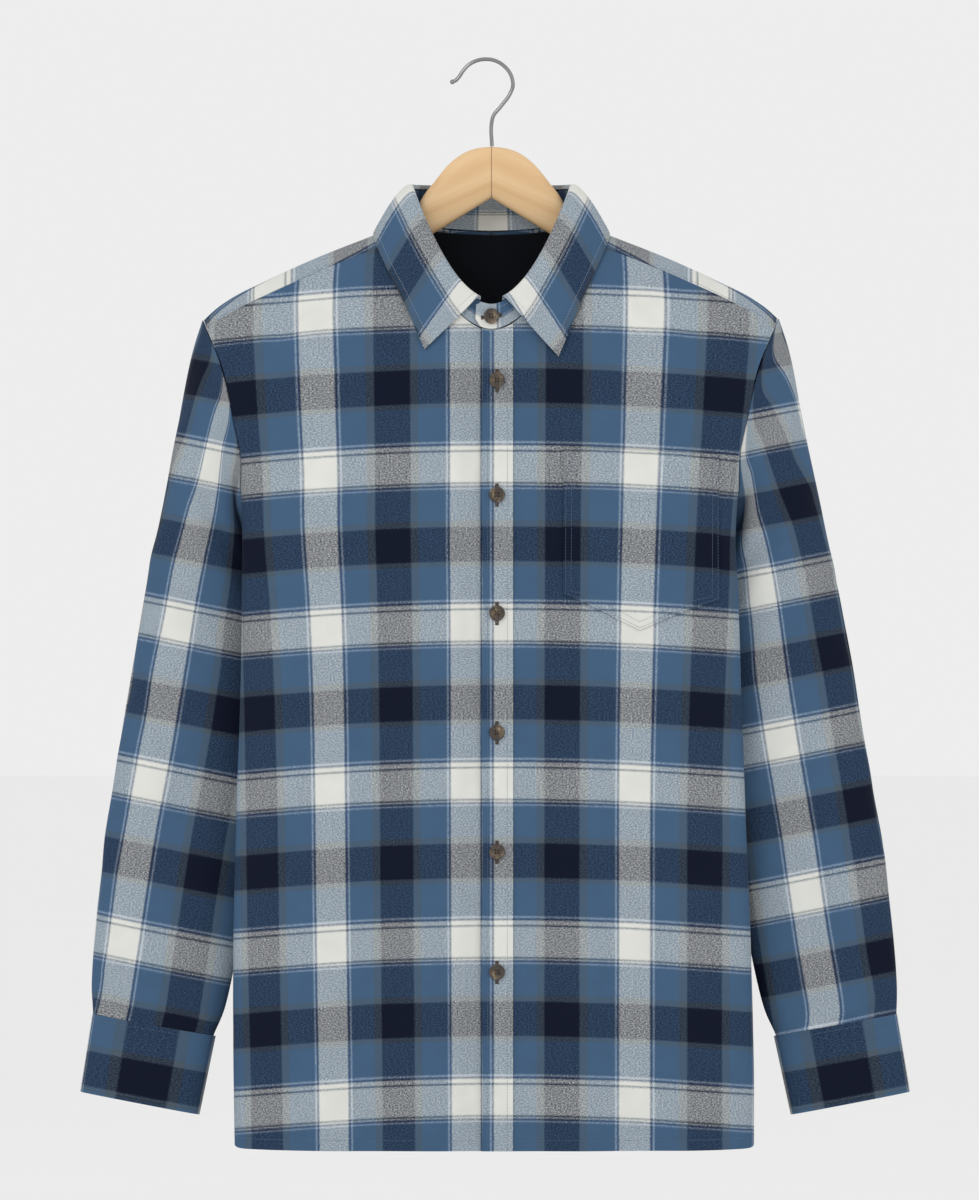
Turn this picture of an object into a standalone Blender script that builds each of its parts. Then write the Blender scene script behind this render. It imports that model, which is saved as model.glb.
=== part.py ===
"""Flannel shirt on a wooden hanger: the cut pieces of the shirt, its buttons, and the hanger with its wire hook.

The shirt is a man's large, buttoned, hung from its shoulders. Lengths are in millimetres and are turned into metres as
each mesh is made. +X is the wearer's left, -Y the front, +Z up, and the origin is the underside of the hook's crown.

Every body piece lies on one form, torso(): at each height a squared ring whose sides fold in behind the sleeves, and
which closes at the top over the hanger's sloping arms. A piece is a four-sided patch of that form with a wall.
"""

import math

import bpy
import numpy as np

MM = 0.001  # metres in a millimetre

# Cloth and seams
CLOTH = 1.2  # wall of one cut piece
SEAM_GAP = 0.35  # between the pieces at a seam
LAYER = CLOTH + SEAM_GAP  # how far out a piece lies that is sewn onto another

# The body
HEM_Z = -897.6
HEM_SIDE_RISE = 16.5
NECK_WIDTH = 144.0
NECK_SIDE_Z = -133.0
NECK_FRONT_Z = -222.0
NECK_BACK_Z = -139.0
YOKE_FRONT_DROP = 19.5  # from the shoulder's crest to the front yoke seam, along the cloth
YOKE_BACK_Z = -228.0
UNDERARM_Z = -388.0
CREST_ROUND = 10.0  # how soon the cloth bends over the shoulder's crest
FRONT_FALL = 50.0  # drop over which the front swells out below the crest
BACK_FALL = 38.0
SQUARENESS = 6.0  # of the ring
TUCK_HALF_OPENING = 0.36  # of the ring's depth

# One row for each height: the half widths, the depths and how far the sides fold in
TORSO_COLUMNS = ("z", "right_side", "left_side", "front", "back", "tuck")
TORSO = (
    (-900.0, 213.0, 217.5, 55.0, 51.0, 7.0),
    (-856.0, 214.0, 218.0, 56.0, 52.0, 10.0),
    (-735.0, 215.5, 216.5, 59.0, 55.0, 26.0),
    (-619.0, 213.5, 212.5, 62.0, 58.0, 38.0),
    (-526.0, 210.5, 209.5, 63.0, 60.0, 42.0),
    (-446.0, 209.0, 207.0, 64.0, 60.0, 38.0),
    (-376.0, 208.5, 204.5, 64.0, 60.0, 24.0),
    (-345.0, 209.0, 206.5, 64.0, 59.0, 8.0),
    (-291.0, 228.5, 226.0, 64.0, 57.0, 0.0),
    (-250.0, 239.0, 237.0, 64.0, 55.0, 0.0),
    (-213.0, 255.0, 253.0, 65.0, 53.0, 0.0),
    (-120.0, 262.0, 261.0, 66.0, 52.0, 0.0),
)

# The crest of the shoulders, from the neck out
CREST_COLUMNS = ("x", "z")
CREST = (
    (0.0, -110.0),
    (72.0, -133.0),
    (95.0, -142.2),
    (149.0, -163.7),
    (185.0, -180.2),
    (217.0, -196.6),
    (228.0, -204.4),
    (237.0, -213.0),
    (262.0, -245.0),
)

# The armhole's front half, as the ring's angle from the centre front at each height
ARMHOLE_COLUMNS = ("z", "degrees")
ARMHOLE = (
    (-388.0, 90.0),
    (-381.0, 76.0),
    (-364.0, 64.0),
    (-345.0, 56.0),
    (-322.0, 50.5),
    (-291.0, 48.2),
    (-250.0, 47.9),
    (-205.0, 47.9),
)

# Fronts, placket and pocket
PLACKET_EDGES = (-7.8, 17.7)
UNDERLAP_X = 15.0  # how far the wearer's right front runs under the placket
UNDERLAP_DROP = 2 * LAYER
BUTTON_X = 4.5
BUTTON_HEIGHTS = (-263.4, -357.4, -454.7, -552.8, -650.9, -749.9)
BUTTON_DIAMETER = 13.0
BUTTON_THICKNESS = 2.6
COLLAR_BUTTON = (0.0, -211.5)
POCKET_TOP = ((59.6, -318.7), (188.2, -324.5))
POCKET_BOTTOM = ((59.0, -439.5), (75.4, -445.6), (122.0, -468.7), (158.7, -453.0), (187.2, -444.0))

# The sleeve, as rings: the outer and inner points of each as seen from the front, and its half depth
SLEEVE_COLUMNS = ("outer_x", "outer_z", "inner_x", "inner_z", "depth", "pinch", "swing")
SLEEVE = (
    (237.0, -213.0, 187.0, -388.0, 46.0, 0.0, 0.0),
    (247.0, -246.0, 194.5, -396.0, 42.0, 0.45, 0.0),
    (262.0, -320.0, 191.5, -424.0, 38.0, 0.5, 0.0),
    (273.0, -375.0, 190.0, -456.0, 33.0, 0.5, 0.3),
    (283.0, -425.0, 189.0, -488.0, 29.0, 0.45, 0.6),
    (295.0, -490.0, 188.0, -531.0, 27.0, 0.4, 1.0),
    (306.0, -560.0, 190.0, -588.0, 26.0, 0.35, 1.6),
    (317.0, -630.0, 198.0, -653.0, 25.0, 0.3, 2.4),
    (325.0, -700.0, 208.5, -721.0, 23.0, 0.2, 3.6),
    (329.5, -757.0, 219.5, -776.0, 20.0, 0.1, 4.8),
    (328.8, -785.2, 230.0, -803.0, 14.6, 0.0, 5.4),
)
CUFF_TOP = (328.8, -785.6, 230.0, -803.4, 14.5, 5.4)
CUFF_HEM = (338.5, -850.6, 243.0, -869.0, 13.0, 6.0)
CUFF_OVERLAP = 24.0
CUFF_OPENING = 0.64  # of the way round from the outer edge, over the front, to the opening at the back

# The collar's leaf, half of it: how far round from the back, and where its edge lies on the shirt
LEAF_COLUMNS = ("round", "x", "drop")
LEAF = (
    (0.0, 0.0, 52.0),
    (0.2, 38.0, 49.0),
    (0.36, 72.0, 32.0),
    (0.46, 92.0, 11.0),
    (0.54, 96.0, -4.0),
    (0.64, 94.0, -18.0),
    (0.76, 84.5, -45.0),
    (0.88, 71.0, -78.0),
    (1.0, 55.0, -120.5),
)
STAND_TOP_BACK_Z = -105.0
STAND_TOP_FRONT_Z = -200.5
STAND_TOP_WIDTH = 130.0
STAND_END_X = -13.6  # the buttoned end, past the centre
STAND_UNDER_X = 9.0
LEAF_END_X = 9.0
ROLL = 4.0  # height of the collar's roll above the stand

# The hanger, half of it
HANGER_COLUMNS = ("x", "top", "bottom", "half_thickness")
HANGER = (
    (0.0, -69.3, -111.7, 7.0),
    (12.0, -70.6, -119.1, 7.0),
    (23.0, -74.6, -125.8, 7.0),
    (36.7, -85.3, -134.2, 7.0),
    (47.4, -98.5, -140.8, 7.0),
    (60.0, -116.5, -148.4, 7.0),
    (65.0, -128.5, -151.4, 6.6),
    (69.0, -136.8, -153.8, 6.2),
    (79.0, -139.8, -159.5, 6.2),
    (92.0, -142.5, -166.8, 6.4),
    (110.0, -152.8, -176.4, 6.2),
    (140.0, -164.6, -189.6, 6.0),
    (170.0, -177.4, -201.0, 6.0),
    (200.0, -191.6, -213.6, 6.0),
    (218.0, -201.4, -221.2, 6.0),
    (226.0, -207.8, -221.6, 5.4),
)
HANGER_CLEAR = 0.9  # under the cloth at the crest
HOOK_WIRE = 3.2
HOOK_ROUTE = (
    (0.3, -69.0),
    (0.3, -48.5),
    (1.1, -44.9),
    (7.8, -35.9),
    (15.1, -26.0),
    (17.7, -19.0),
    (17.4, -14.4),
    (15.1, -8.2),
    (9.7, -2.0),
    (2.6, 2.0),
    (-4.6, 3.05),
    (-11.8, 2.0),
    (-18.1, -1.1),
    (-23.4, -6.4),
    (-27.0, -11.8),
    (-29.7, -14.5),
    (-32.4, -15.7),
)


# ---------------------------------------------------------------------------------------------------------------------
# Curves and grids


def smooth(at, knots, values):
    """Value at `at` of the cubic that passes through the table, with each knot's slope from its neighbours."""
    knots, values = np.asarray(knots, float), np.asarray(values, float)
    if knots[0] > knots[-1]:
        knots, values = knots[::-1], values[::-1]
    slopes = np.gradient(values, knots)
    i = np.clip(np.searchsorted(knots, at) - 1, 0, len(knots) - 2)
    span = knots[i + 1] - knots[i]
    t = np.clip((at - knots[i]) / span, 0.0, 1.0)
    a = values[i] * (1 + 2 * t) * (1 - t) ** 2 + slopes[i] * span * t * (1 - t) ** 2
    b = values[i + 1] * (3 - 2 * t) * t**2 - slopes[i + 1] * span * t**2 * (1 - t)
    return a + b


def column(table, names, name):
    return np.array(table)[:, names.index(name)]


def ease(t):
    """0 to 1 with level ends."""
    t = np.clip(t, 0.0, 1.0)
    return t * t * (3 - 2 * t)


def unit(vectors):
    return vectors / np.maximum(np.linalg.norm(vectors, axis=-1, keepdims=True), 1e-9)


def patch(inner, outer, low, high, hold=2.0):
    """Grid between four edges: columns run straight from low to high, and are drawn to the inner and outer edges.

    The draw fades away from an edge as a power, so that a curved edge moves only the columns near it.
    """
    v = np.linspace(0, 1, len(inner))[None, :, None]
    u = np.linspace(0, 1, len(low))[:, None, None]
    along = (1 - v) * low[:, None] + v * high[:, None]
    return along + (inner - along[0])[None] * (1 - u) ** hold + (outer - along[-1])[None] * u**hold


def mitred(points, around=False, edges=None):
    """Offset directions at each point of a grid: the mean of the normals of the cells round it.

    Each is lengthened by the bend there, so that walls keep their thickness round tight folds. The outer rows and
    columns take the directions given in `edges`, which neighbours across a seam share.
    """
    rows = np.concatenate([points, points[:1]]) if around else points
    cell = unit(np.cross(rows[1:, 1:] - rows[:-1, :-1], rows[:-1, 1:] - rows[1:, :-1]))
    if around:
        cell = np.concatenate([cell[-1:], cell])
    else:
        cell = np.concatenate([cell[:1], cell, cell[-1:]])
    cell = np.concatenate([cell[:, :1], cell, cell[:, -1:]], axis=1)
    near = np.stack([cell[:-1, :-1], cell[1:, :-1], cell[:-1, 1:], cell[1:, 1:]])
    normals = unit(near.sum(axis=0))
    if edges is not None:
        sign = 1.0 if np.sum(normals * edges) > 0 else -1.0
        inside = normals[1:-1, 1:-1].copy()
        normals = sign * edges
        normals[1:-1, 1:-1] = inside
    bend = np.einsum("kijc,ijc->kij", near, normals).mean(axis=0)
    return normals / np.clip(bend, 0.6, 1.0)[..., None]


def wall(name, points, colour, out=CLOTH / 2, inward=CLOTH / 2, around=False, normals=None, centre=None):
    """One closed cloth piece: the grid moved out for its face, moved in for its back, and joined round its edges."""
    nu, nv = points.shape[:2]
    normals = mitred(points, around, normals)
    middle = points.reshape(-1, 3).mean(axis=0) if centre is None else np.array(centre)
    if np.sum(normals * (points - middle)) < 0:
        normals = -normals
    layers = np.concatenate([(points + normals * out).reshape(-1, 3), (points - normals * inward).reshape(-1, 3)])
    index = np.arange(nu * nv).reshape(nu, nv)
    rows = np.concatenate([index, index[:1]]) if around else index
    a, b, c, d = rows[:-1, :-1], rows[1:, :-1], rows[1:, 1:], rows[:-1, 1:]
    halves = np.concatenate([np.stack([a, b, c], axis=-1).reshape(-1, 3), np.stack([a, c, d], axis=-1).reshape(-1, 3)])
    faces = [halves, halves[:, ::-1] + nu * nv]
    edges = [rows[:, 0], rows[:, -1][::-1]]
    if not around:
        edges += [index[0][::-1], index[-1]]
    for edge in edges:
        start, end = edge[:-1], edge[1:]
        faces.append(np.stack([end, start, start + nu * nv], axis=-1))
        faces.append(np.stack([end, start + nu * nv, end + nu * nv], axis=-1))
    return solid(name, layers, np.concatenate(faces), colour)


def solid(name, points, faces, colour, roughness=0.85, metallic=0.0):
    """Mesh object from millimetre points, turned so that its faces point outwards."""
    p = points[faces]
    volume = sum(
        np.einsum("ij,ij->i", p[:, 0], np.cross(p[:, k], p[:, k + 1])).sum() for k in range(1, p.shape[1] - 1)
    )
    if volume < 0:
        faces = faces[:, ::-1]
    mesh = bpy.data.meshes.new(name)
    mesh.from_pydata((points * MM).tolist(), [], faces.tolist())
    mesh.update()
    mesh.shade_smooth()
    mesh.set_sharp_from_angle(angle=math.radians(40))
    obj = bpy.data.objects.new(name, mesh)
    bpy.context.scene.collection.objects.link(obj)
    mesh.materials.append(finish(name, colour, roughness, metallic))
    return obj


def finish(name, colour, roughness, metallic):
    material = bpy.data.materials.new(name)
    material.use_nodes = True
    shader = material.node_tree.nodes["Principled BSDF"]
    shader.inputs["Base Color"].default_value = (*colour, 1.0)
    shader.inputs["Roughness"].default_value = roughness
    shader.inputs["Metallic"].default_value = metallic
    return material


# ---------------------------------------------------------------------------------------------------------------------
# The form that every body piece lies on


def crest_z(x):
    return smooth(np.abs(x), column(CREST, CREST_COLUMNS, "x"), column(CREST, CREST_COLUMNS, "z"))


def torso_size(name, z):
    return smooth(z, column(TORSO, TORSO_COLUMNS, "z"), column(TORSO, TORSO_COLUMNS, name))


def half_width(z, side):
    """Half width of the ring at z; side is -1 on the wearer's right and +1 on the left."""
    return np.where(side < 0, torso_size("right_side", z), torso_size("left_side", z))


def swell(drop, fall):
    """Share of its full depth that the cloth has reached at this drop below the crest."""
    along = np.sqrt(np.maximum(drop, 0.0) ** 2 + 2 * CREST_ROUND * np.maximum(drop, 0.0))
    return 1 - np.exp(-along / fall)


def torso(angle, z):
    """Points of the body at a ring angle (radians from the centre front, positive to the wearer's left) and a height.

    A superellipse of the table's width and depth. Its depth is scaled by the swell below the crest, and its sides are
    pushed in by the tuck, which fades as a bell curve away from the side seam.
    """
    angle, z = np.broadcast_arrays(np.asarray(angle, float), np.asarray(z, float))
    s, c = np.sin(angle), np.cos(angle)
    radius = (np.abs(s) ** SQUARENESS + np.abs(c) ** SQUARENESS) ** (-1 / SQUARENESS)
    across, depth = s * radius, c * radius
    tuck = torso_size("tuck", z) * np.exp(-((depth / TUCK_HALF_OPENING) ** 2))
    x = across * half_width(z, across) - np.sign(across) * tuck * np.abs(across) ** 8
    drop = crest_z(x) - z
    front = torso_size("front", z) * swell(drop, FRONT_FALL)
    back = torso_size("back", z) * swell(drop, BACK_FALL)
    y = -depth * np.where(depth > 0, front, back)
    return np.stack([x, y, z], axis=-1)


def ring_angle(x, z, back=False):
    """The ring angle at which the body, without its tuck, is x off the centre at height z."""
    across = np.clip(np.abs(x) / half_width(z, x), 0, 0.9999)
    depth = (1 - across**SQUARENESS) ** (1 / SQUARENESS)
    angle = np.arctan2(across, -depth if back else depth)
    return np.sign(x) * angle


def ring_lengths(z, back):
    """Lengths along the half ring from its centre to 300 angles, one row for each height."""
    turn = np.linspace(0, 0.53 * math.pi, 300)
    points = torso(math.pi - turn if back else turn, np.asarray(z)[..., None])
    steps = np.linalg.norm(np.diff(points, axis=-2), axis=-1)
    return turn, np.concatenate([np.zeros_like(steps[..., :1]), np.cumsum(steps, axis=-1)], axis=-1)


def ring_to_cloth(places, back=False):
    """Ring angles and heights turned into lengths along the cloth from the centre, and heights."""
    angle, z = places[..., 0], places[..., 1]
    turn, lengths = ring_lengths(z, back)
    away = math.pi - np.abs(angle) if back else np.abs(angle)
    step = np.clip(away / turn[1], 0, len(turn) - 1.001)
    i = step.astype(int)
    low = np.take_along_axis(lengths, i[..., None], -1)[..., 0]
    high = np.take_along_axis(lengths, i[..., None] + 1, -1)[..., 0]
    return np.stack([np.sign(angle) * (low + (high - low) * (step - i)), z], axis=-1)


def cloth_to_ring(places, back=False):
    """The reverse of ring_to_cloth."""
    length, z = places[..., 0], places[..., 1]
    turn, lengths = ring_lengths(z, back)
    i = np.clip((lengths < np.abs(length)[..., None]).sum(axis=-1) - 1, 0, len(turn) - 2)
    low = np.take_along_axis(lengths, i[..., None], -1)[..., 0]
    high = np.take_along_axis(lengths, i[..., None] + 1, -1)[..., 0]
    away = turn[i] + turn[1] * (np.abs(length) - low) / (high - low)
    return np.stack([np.where(length < 0, -1, 1) * (math.pi - away if back else away), z], axis=-1)


def cloth_patch(inner, outer, low, high, back=False):
    """A patch of the body between four edges of ring angles and heights, even along the cloth."""
    return cloth_to_ring(patch(*(ring_to_cloth(edge, back) for edge in (inner, outer, low, high))), back)


def crest_height(x, drop):
    """Height of the cloth at a signed length over the crest."""
    return crest_z(x) - (np.sqrt(drop**2 + CREST_ROUND**2) - CREST_ROUND)


def shoulder(x, drop):
    """Points of the body near the shoulders: x across, and the length over the crest, front negative, back positive."""
    x, drop = np.broadcast_arrays(np.asarray(x, float), np.asarray(drop, float))
    z = crest_height(x, drop)
    across = np.clip(np.abs(x) / half_width(z, x), 0, 0.9999)
    depth = (1 - across**SQUARENESS) ** (1 / SQUARENESS)
    fall = np.where(drop < 0, FRONT_FALL, BACK_FALL)
    size = np.where(drop < 0, torso_size("front", z), torso_size("back", z))
    y = np.sign(drop) * size * depth * (1 - np.exp(-np.abs(drop) / fall))
    return np.stack([x, y, z], axis=-1)


def drop_at(x, z):
    """Length over the crest at which the cloth is at height z."""
    fall = np.maximum(crest_z(x) - z, 0.0)
    return np.sqrt(fall**2 + 2 * CREST_ROUND * fall)


def hem_z(angle, fall=0.0):
    """The hem rises towards the side seams."""
    s = np.abs(np.sin(angle))
    return HEM_Z + fall + HEM_SIDE_RISE * (0.4 * s**5 + 0.6 * s**20)


def neck_front_z(x):
    return NECK_FRONT_Z + (NECK_SIDE_Z - NECK_FRONT_Z) * (np.abs(x) / (NECK_WIDTH / 2)) ** 1.9


def neck_back_z(x):
    return NECK_BACK_Z + (NECK_SIDE_Z - NECK_BACK_Z) * (np.abs(x) / (NECK_WIDTH / 2)) ** 2


def armhole_x(drop, side):
    """Where the armhole crosses the shoulder at this length over the crest, found by closing in on it."""
    x = np.full_like(np.asarray(drop, float), side * 237.0)
    lean = math.radians(ARMHOLE[-1][1])
    across = math.sin(lean) * (math.sin(lean) ** SQUARENESS + math.cos(lean) ** SQUARENESS) ** (-1 / SQUARENESS)
    for _ in range(6):
        x = side * across * half_width(crest_height(x, drop), side)
    return x


def armhole_edge(top_z, side, count, back=False):
    """Ring angles and heights down the armhole from top_z to the underarm."""
    share = np.linspace(0, 1, count)
    z = top_z + (UNDERARM_Z - top_z) * np.sin(share * math.pi / 2) ** 1.1
    angle = np.radians(smooth(z, column(ARMHOLE, ARMHOLE_COLUMNS, "z"), column(ARMHOLE, ARMHOLE_COLUMNS, "degrees")))
    return np.stack([side * (math.pi - angle if back else angle), z], axis=1)


def inset(points, gap, edges="uvUV"):
    """The grid with its edge rows moved in by a seam's gap; a lower-case letter is the first row, a capital the last."""
    out = points.copy()
    for letter, here, inner in (("u", 0, 1), ("U", -1, -2)):
        if letter in edges:
            out[here] += unit(points[inner] - points[here]) * gap
    for letter, here, inner in (("v", 0, 1), ("V", -1, -2)):
        if letter in edges:
            out[:, here] += unit(out[:, inner] - out[:, here]) * gap
    return out


# ---------------------------------------------------------------------------------------------------------------------
# The pieces

FLANNEL = (0.16, 0.25, 0.38)
FLANNEL_LIGHT = (0.42, 0.50, 0.60)
FLANNEL_DARK = (0.05, 0.07, 0.13)
HORN = (0.20, 0.13, 0.08)

# Cells along each stretch of the panels' edges, which neighbours share
NECK_CELLS = 6
SEAM_CELLS = 7
SIDE_CELLS = 13
ARM_CELLS = 7
YOKE_DROPS = (0.0, 0.26, 0.5, 1.0)  # front seam to crest
YOKE_BACK_SHARES = (0.17, 0.42, 0.7, 1.0)  # crest to back seam


def even(form, edge, cells):
    """The edge, given as many places on a form, at even steps along the cloth."""
    points = form(edge[:, 0], edge[:, 1])
    along = np.concatenate([[0.0], np.cumsum(np.linalg.norm(np.diff(points, axis=0), axis=1))])
    at = np.linspace(0, along[-1], cells + 1)
    return np.stack([np.interp(at, along, edge[:, 0]), np.interp(at, along, edge[:, 1])], axis=1)


def chain(*edges):
    """Edges joined end to end, each shared point once."""
    return np.concatenate([edges[0]] + [edge[1:] for edge in edges[1:]])


def on_form(form, places):
    """Points and outward normals of a form at a grid of places."""
    a, b = places[..., 0], places[..., 1]
    step_a, step_b = (1e-4, 1e-2) if form is torso else (1e-2, 1e-2)
    da = form(a + step_a, b) - form(a - step_a, b)
    db = form(a, b + step_b) - form(a, b - step_b)
    points = form(a, b)
    normals = unit(np.cross(da, db))
    if np.sum(normals * (points - points.reshape(-1, 3).mean(axis=0) * (1, 0, 1))) < 0:
        normals = -normals
    return points, normals


def neck_corner():
    """Where the front yoke seam meets the neck: its x, on the wearer's left."""
    x = np.linspace(40, NECK_WIDTH / 2, 400)
    return x[np.argmin(np.abs(drop_at(x, neck_front_z(x)) - YOKE_FRONT_DROP))]


def side_places(side, top_z, back):
    """Up the side seam from the hem, then round the armhole to top_z."""
    lean = side * math.pi / 2
    z = np.linspace(hem_z(lean), UNDERARM_Z, 60)
    seam = even(torso, np.stack([np.full_like(z, lean), z], axis=1), SIDE_CELLS)
    arm = even(torso, armhole_edge(top_z, side, 120, back)[::-1], ARM_CELLS)
    return chain(seam, arm)


def front_seam_places(side):
    """The front yoke seam from the neck out to the armhole, as x and drop."""
    x = np.linspace(side * neck_corner(), armhole_x(-YOKE_FRONT_DROP, side), 80)
    return even(shoulder, np.stack([x, np.full_like(x, -YOKE_FRONT_DROP)], axis=1), SEAM_CELLS)


def to_ring(places, back=False):
    """Places given as x and drop, turned into ring angles and heights."""
    z = crest_height(places[:, 0], places[:, 1])
    return np.stack([ring_angle(places[:, 0], z, back), z], axis=1)


def front_places(side, centre):
    """Grid of ring angles and heights over one front: centre to side, hem to shoulder."""
    seam = to_ring(front_seam_places(side))
    neck_x = np.linspace(centre, side * neck_corner(), 80)
    neck = np.stack([ring_angle(neck_x, neck_front_z(neck_x)), neck_front_z(neck_x)], axis=1)
    high = chain(even(torso, neck, NECK_CELLS), seam)
    outer = side_places(side, high[-1, 1], back=False)
    angle = np.linspace(ring_angle(centre, HEM_Z), side * math.pi / 2, 300)
    low = even(torso, np.stack([angle, hem_z(angle)], axis=1), NECK_CELLS + SEAM_CELLS)
    z = np.linspace(low[0, 1], high[0, 1], 80)
    inner = even(torso, np.stack([ring_angle(np.full_like(z, centre), z), z], axis=1), SIDE_CELLS + ARM_CELLS)
    outer[-1] = high[-1]
    return cloth_patch(inner, outer, low, high)


def make_fronts():
    right, normals = on_form(torso, front_places(-1, UNDERLAP_X))
    right[..., 1] += UNDERLAP_DROP * ease((right[..., 0] + 30) / 14)
    wall("front_right", inset(right, SEAM_GAP / 2, "UV"), FLANNEL, normals=normals, centre=(0, 0, -560))
    left, normals = on_form(torso, front_places(1, PLACKET_EDGES[0]))
    wall("front_left", inset(left, SEAM_GAP / 2, "UV"), FLANNEL, normals=normals, centre=(0, 0, -560))


def make_back():
    right, left = (side_places(side, YOKE_BACK_Z, back=True) for side in (-1, 1))
    high = back_seam_places()
    z = np.full(len(high), YOKE_BACK_Z)
    high = np.stack([ring_angle(high[:, 0], z, back=True), z], axis=1)
    half = SEAM_CELLS + NECK_CELLS
    angle = np.linspace(math.pi, math.pi / 2, 300)
    low = even(torso, np.stack([angle, hem_z(angle)], axis=1), half)
    low = np.concatenate([low[:0:-1] * (-1, 1), low])
    right[-1], left[-1] = high[0], high[-1]
    points, normals = on_form(torso, cloth_patch(right, left, low, high, back=True))
    wall("back", inset(points, SEAM_GAP / 2, "uUV"), FLANNEL_DARK, normals=normals, centre=(0, 0, -560))


def back_seam_places():
    """The back yoke seam from the wearer's right armhole to the left, as x and drop."""
    ends = [armhole_x(drop_at(side * 230.0, YOKE_BACK_Z), side) for side in (-1, 1)]
    x = np.linspace(ends[0], ends[1], 200)
    return even(shoulder, np.stack([x, drop_at(x, YOKE_BACK_Z)], axis=1), 2 * SEAM_CELLS + 2 * NECK_CELLS)


def neck_back_places(cells):
    """Round the back of the neck between the two front yoke seams, as x and drop."""
    corner, side = neck_corner(), NECK_WIDTH / 2
    x = np.linspace(corner, side, 20)
    front = np.stack([x, -drop_at(x, neck_front_z(x))], axis=1)
    turn = np.linspace(math.pi / 2, -math.pi / 2, 160)
    x = side * np.sin(turn)
    back = np.stack([x, drop_at(x, neck_back_z(x))], axis=1)
    mirrored = front[::-1] * (-1, 1)
    return even(shoulder, chain(front, back, mirrored)[::-1], cells)


def yoke_drops(back_drop):
    front = -YOKE_FRONT_DROP * (1 - np.array(YOKE_DROPS))
    return np.concatenate([front, back_drop * np.array(YOKE_BACK_SHARES)])


def yoke_places(low, high):
    """Grid of x and drop from the front seams and the neck to the back seam, with one row along the crest.

    Columns that start in front of the crest have four rows up to it and four beyond. The rows of those behind the
    neck start close together beside the shoulder and are even by the middle.
    """
    front, back = low[:, 1:], high[:, 1:]
    over = np.concatenate([front * (1 - np.array(YOKE_DROPS)), back * np.array(YOKE_BACK_SHARES)], axis=1)
    inward = np.clip((NECK_CELLS - 1 - np.abs(np.arange(len(low)) - len(low) // 2)) / (NECK_CELLS - 2), 0, 1)[:, None]
    close = np.concatenate([np.linspace(0, 0.06, len(YOKE_DROPS)), 0.06 + 0.94 * np.array(YOKE_BACK_SHARES)])
    shares = close + (np.linspace(0, 1, over.shape[1]) - close) * inward
    straight = front + (back - front) * shares
    drops = np.where(front < -0.01, over, straight)
    share = (drops - front) / (back - front)
    x = low[:, :1] + (high[:, :1] - low[:, :1]) * share
    for side, ends in ((-1, range(3)), (1, range(-1, -4, -1))):
        away = armhole_x(drops[ends[0]], side) - x[ends[0]]
        for step, end in enumerate(ends):
            x[end] += away * (1 - step / 3)
    return np.stack([x, drops], axis=-1)


def make_yoke():
    low = chain(front_seam_places(-1)[::-1], neck_back_places(2 * NECK_CELLS), front_seam_places(1))
    high = back_seam_places()
    points, normals = on_form(shoulder, yoke_places(low, high))
    wall("yoke", inset(points, SEAM_GAP / 2, "uUvV"), FLANNEL_LIGHT, normals=normals, centre=(0, 0, -260))


def make_yoke_lining():
    """The plain inner yoke behind the neck, one layer in from the yoke."""
    reach, under = 67.0, 20.0
    x = np.linspace(-reach, reach, 300)
    drop = np.maximum(drop_at(x, neck_back_z(np.clip(x, -72, 72))) + 1.0, under)
    low = even(shoulder, np.stack([x, drop], axis=1), 12)
    high = even(shoulder, np.stack([x, drop_at(x, YOKE_BACK_Z + 1.5)], axis=1), 12)
    share = np.linspace(0, 1, 6)[:, None]
    places = patch(low[0] + (high[0] - low[0]) * share, low[-1] + (high[-1] - low[-1]) * share, low, high)
    points, normals = on_form(shoulder, places)
    inner = LAYER + 1.7
    wall("yoke_lining", points, FLANNEL_DARK, out=CLOTH / 2 - inner, inward=CLOTH / 2 + inner, normals=normals,
         centre=(0, 0, -260))


def flat_places(x, z):
    """Grid of ring angles over front places given by x and height."""
    return np.stack([ring_angle(x, z), z], axis=-1)


def lay_on_front(name, x, z, colour, lift=LAYER, centre=(0, 0, -560)):
    """A piece sewn onto the wearer's left front: the front's own points, moved out."""
    points, normals = on_form(torso, flat_places(x, z))
    return wall(name, points, colour, out=lift + CLOTH / 2, inward=CLOTH / 2 - lift, normals=normals, centre=centre)


def make_placket():
    share = np.linspace(0, 1, 22)[None, :]
    x = np.linspace(*PLACKET_EDGES, 4)[:, None] + 0 * share
    z = HEM_Z + (neck_front_z(x) - 0.5 - HEM_Z) * share
    lay_on_front("placket", x, z, FLANNEL_LIGHT)


def make_pocket():
    u, v = np.meshgrid(np.linspace(0, 1, 13), np.linspace(0, 1, 9), indexing="ij")
    bottom, top = np.array(POCKET_BOTTOM), np.array(POCKET_TOP)
    x = bottom[0, 0] + (bottom[-1, 0] - bottom[0, 0]) * u
    low = np.interp(x, bottom[:, 0], bottom[:, 1])
    high = np.interp(x, top[:, 0], top[:, 1])
    lay_on_front("pocket", x, low + (high - low) * v, FLANNEL, lift=LAYER + 0.3)


# --- sleeves and cuffs


def armhole_loop(side):
    """The armhole's vertices on the body, from the front yoke seam down, round the underarm and back over the top."""
    front = torso(*side_places(side, crest_height(armhole_x(-YOKE_FRONT_DROP, side), -YOKE_FRONT_DROP), False).T)
    back = torso(*side_places(side, YOKE_BACK_Z, True).T)
    end = back_seam_places()[0 if side < 0 else -1]
    drops = yoke_drops(end[1])
    top = shoulder(armhole_x(drops, side), drops)
    loop = np.concatenate([front[::-1][:ARM_CELLS], back[SIDE_CELLS:][:-1], top[::-1][:-1]])
    return loop, int(np.argmin(np.linalg.norm(loop - shoulder(armhole_x(0.0, side), 0.0), axis=1)))


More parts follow.
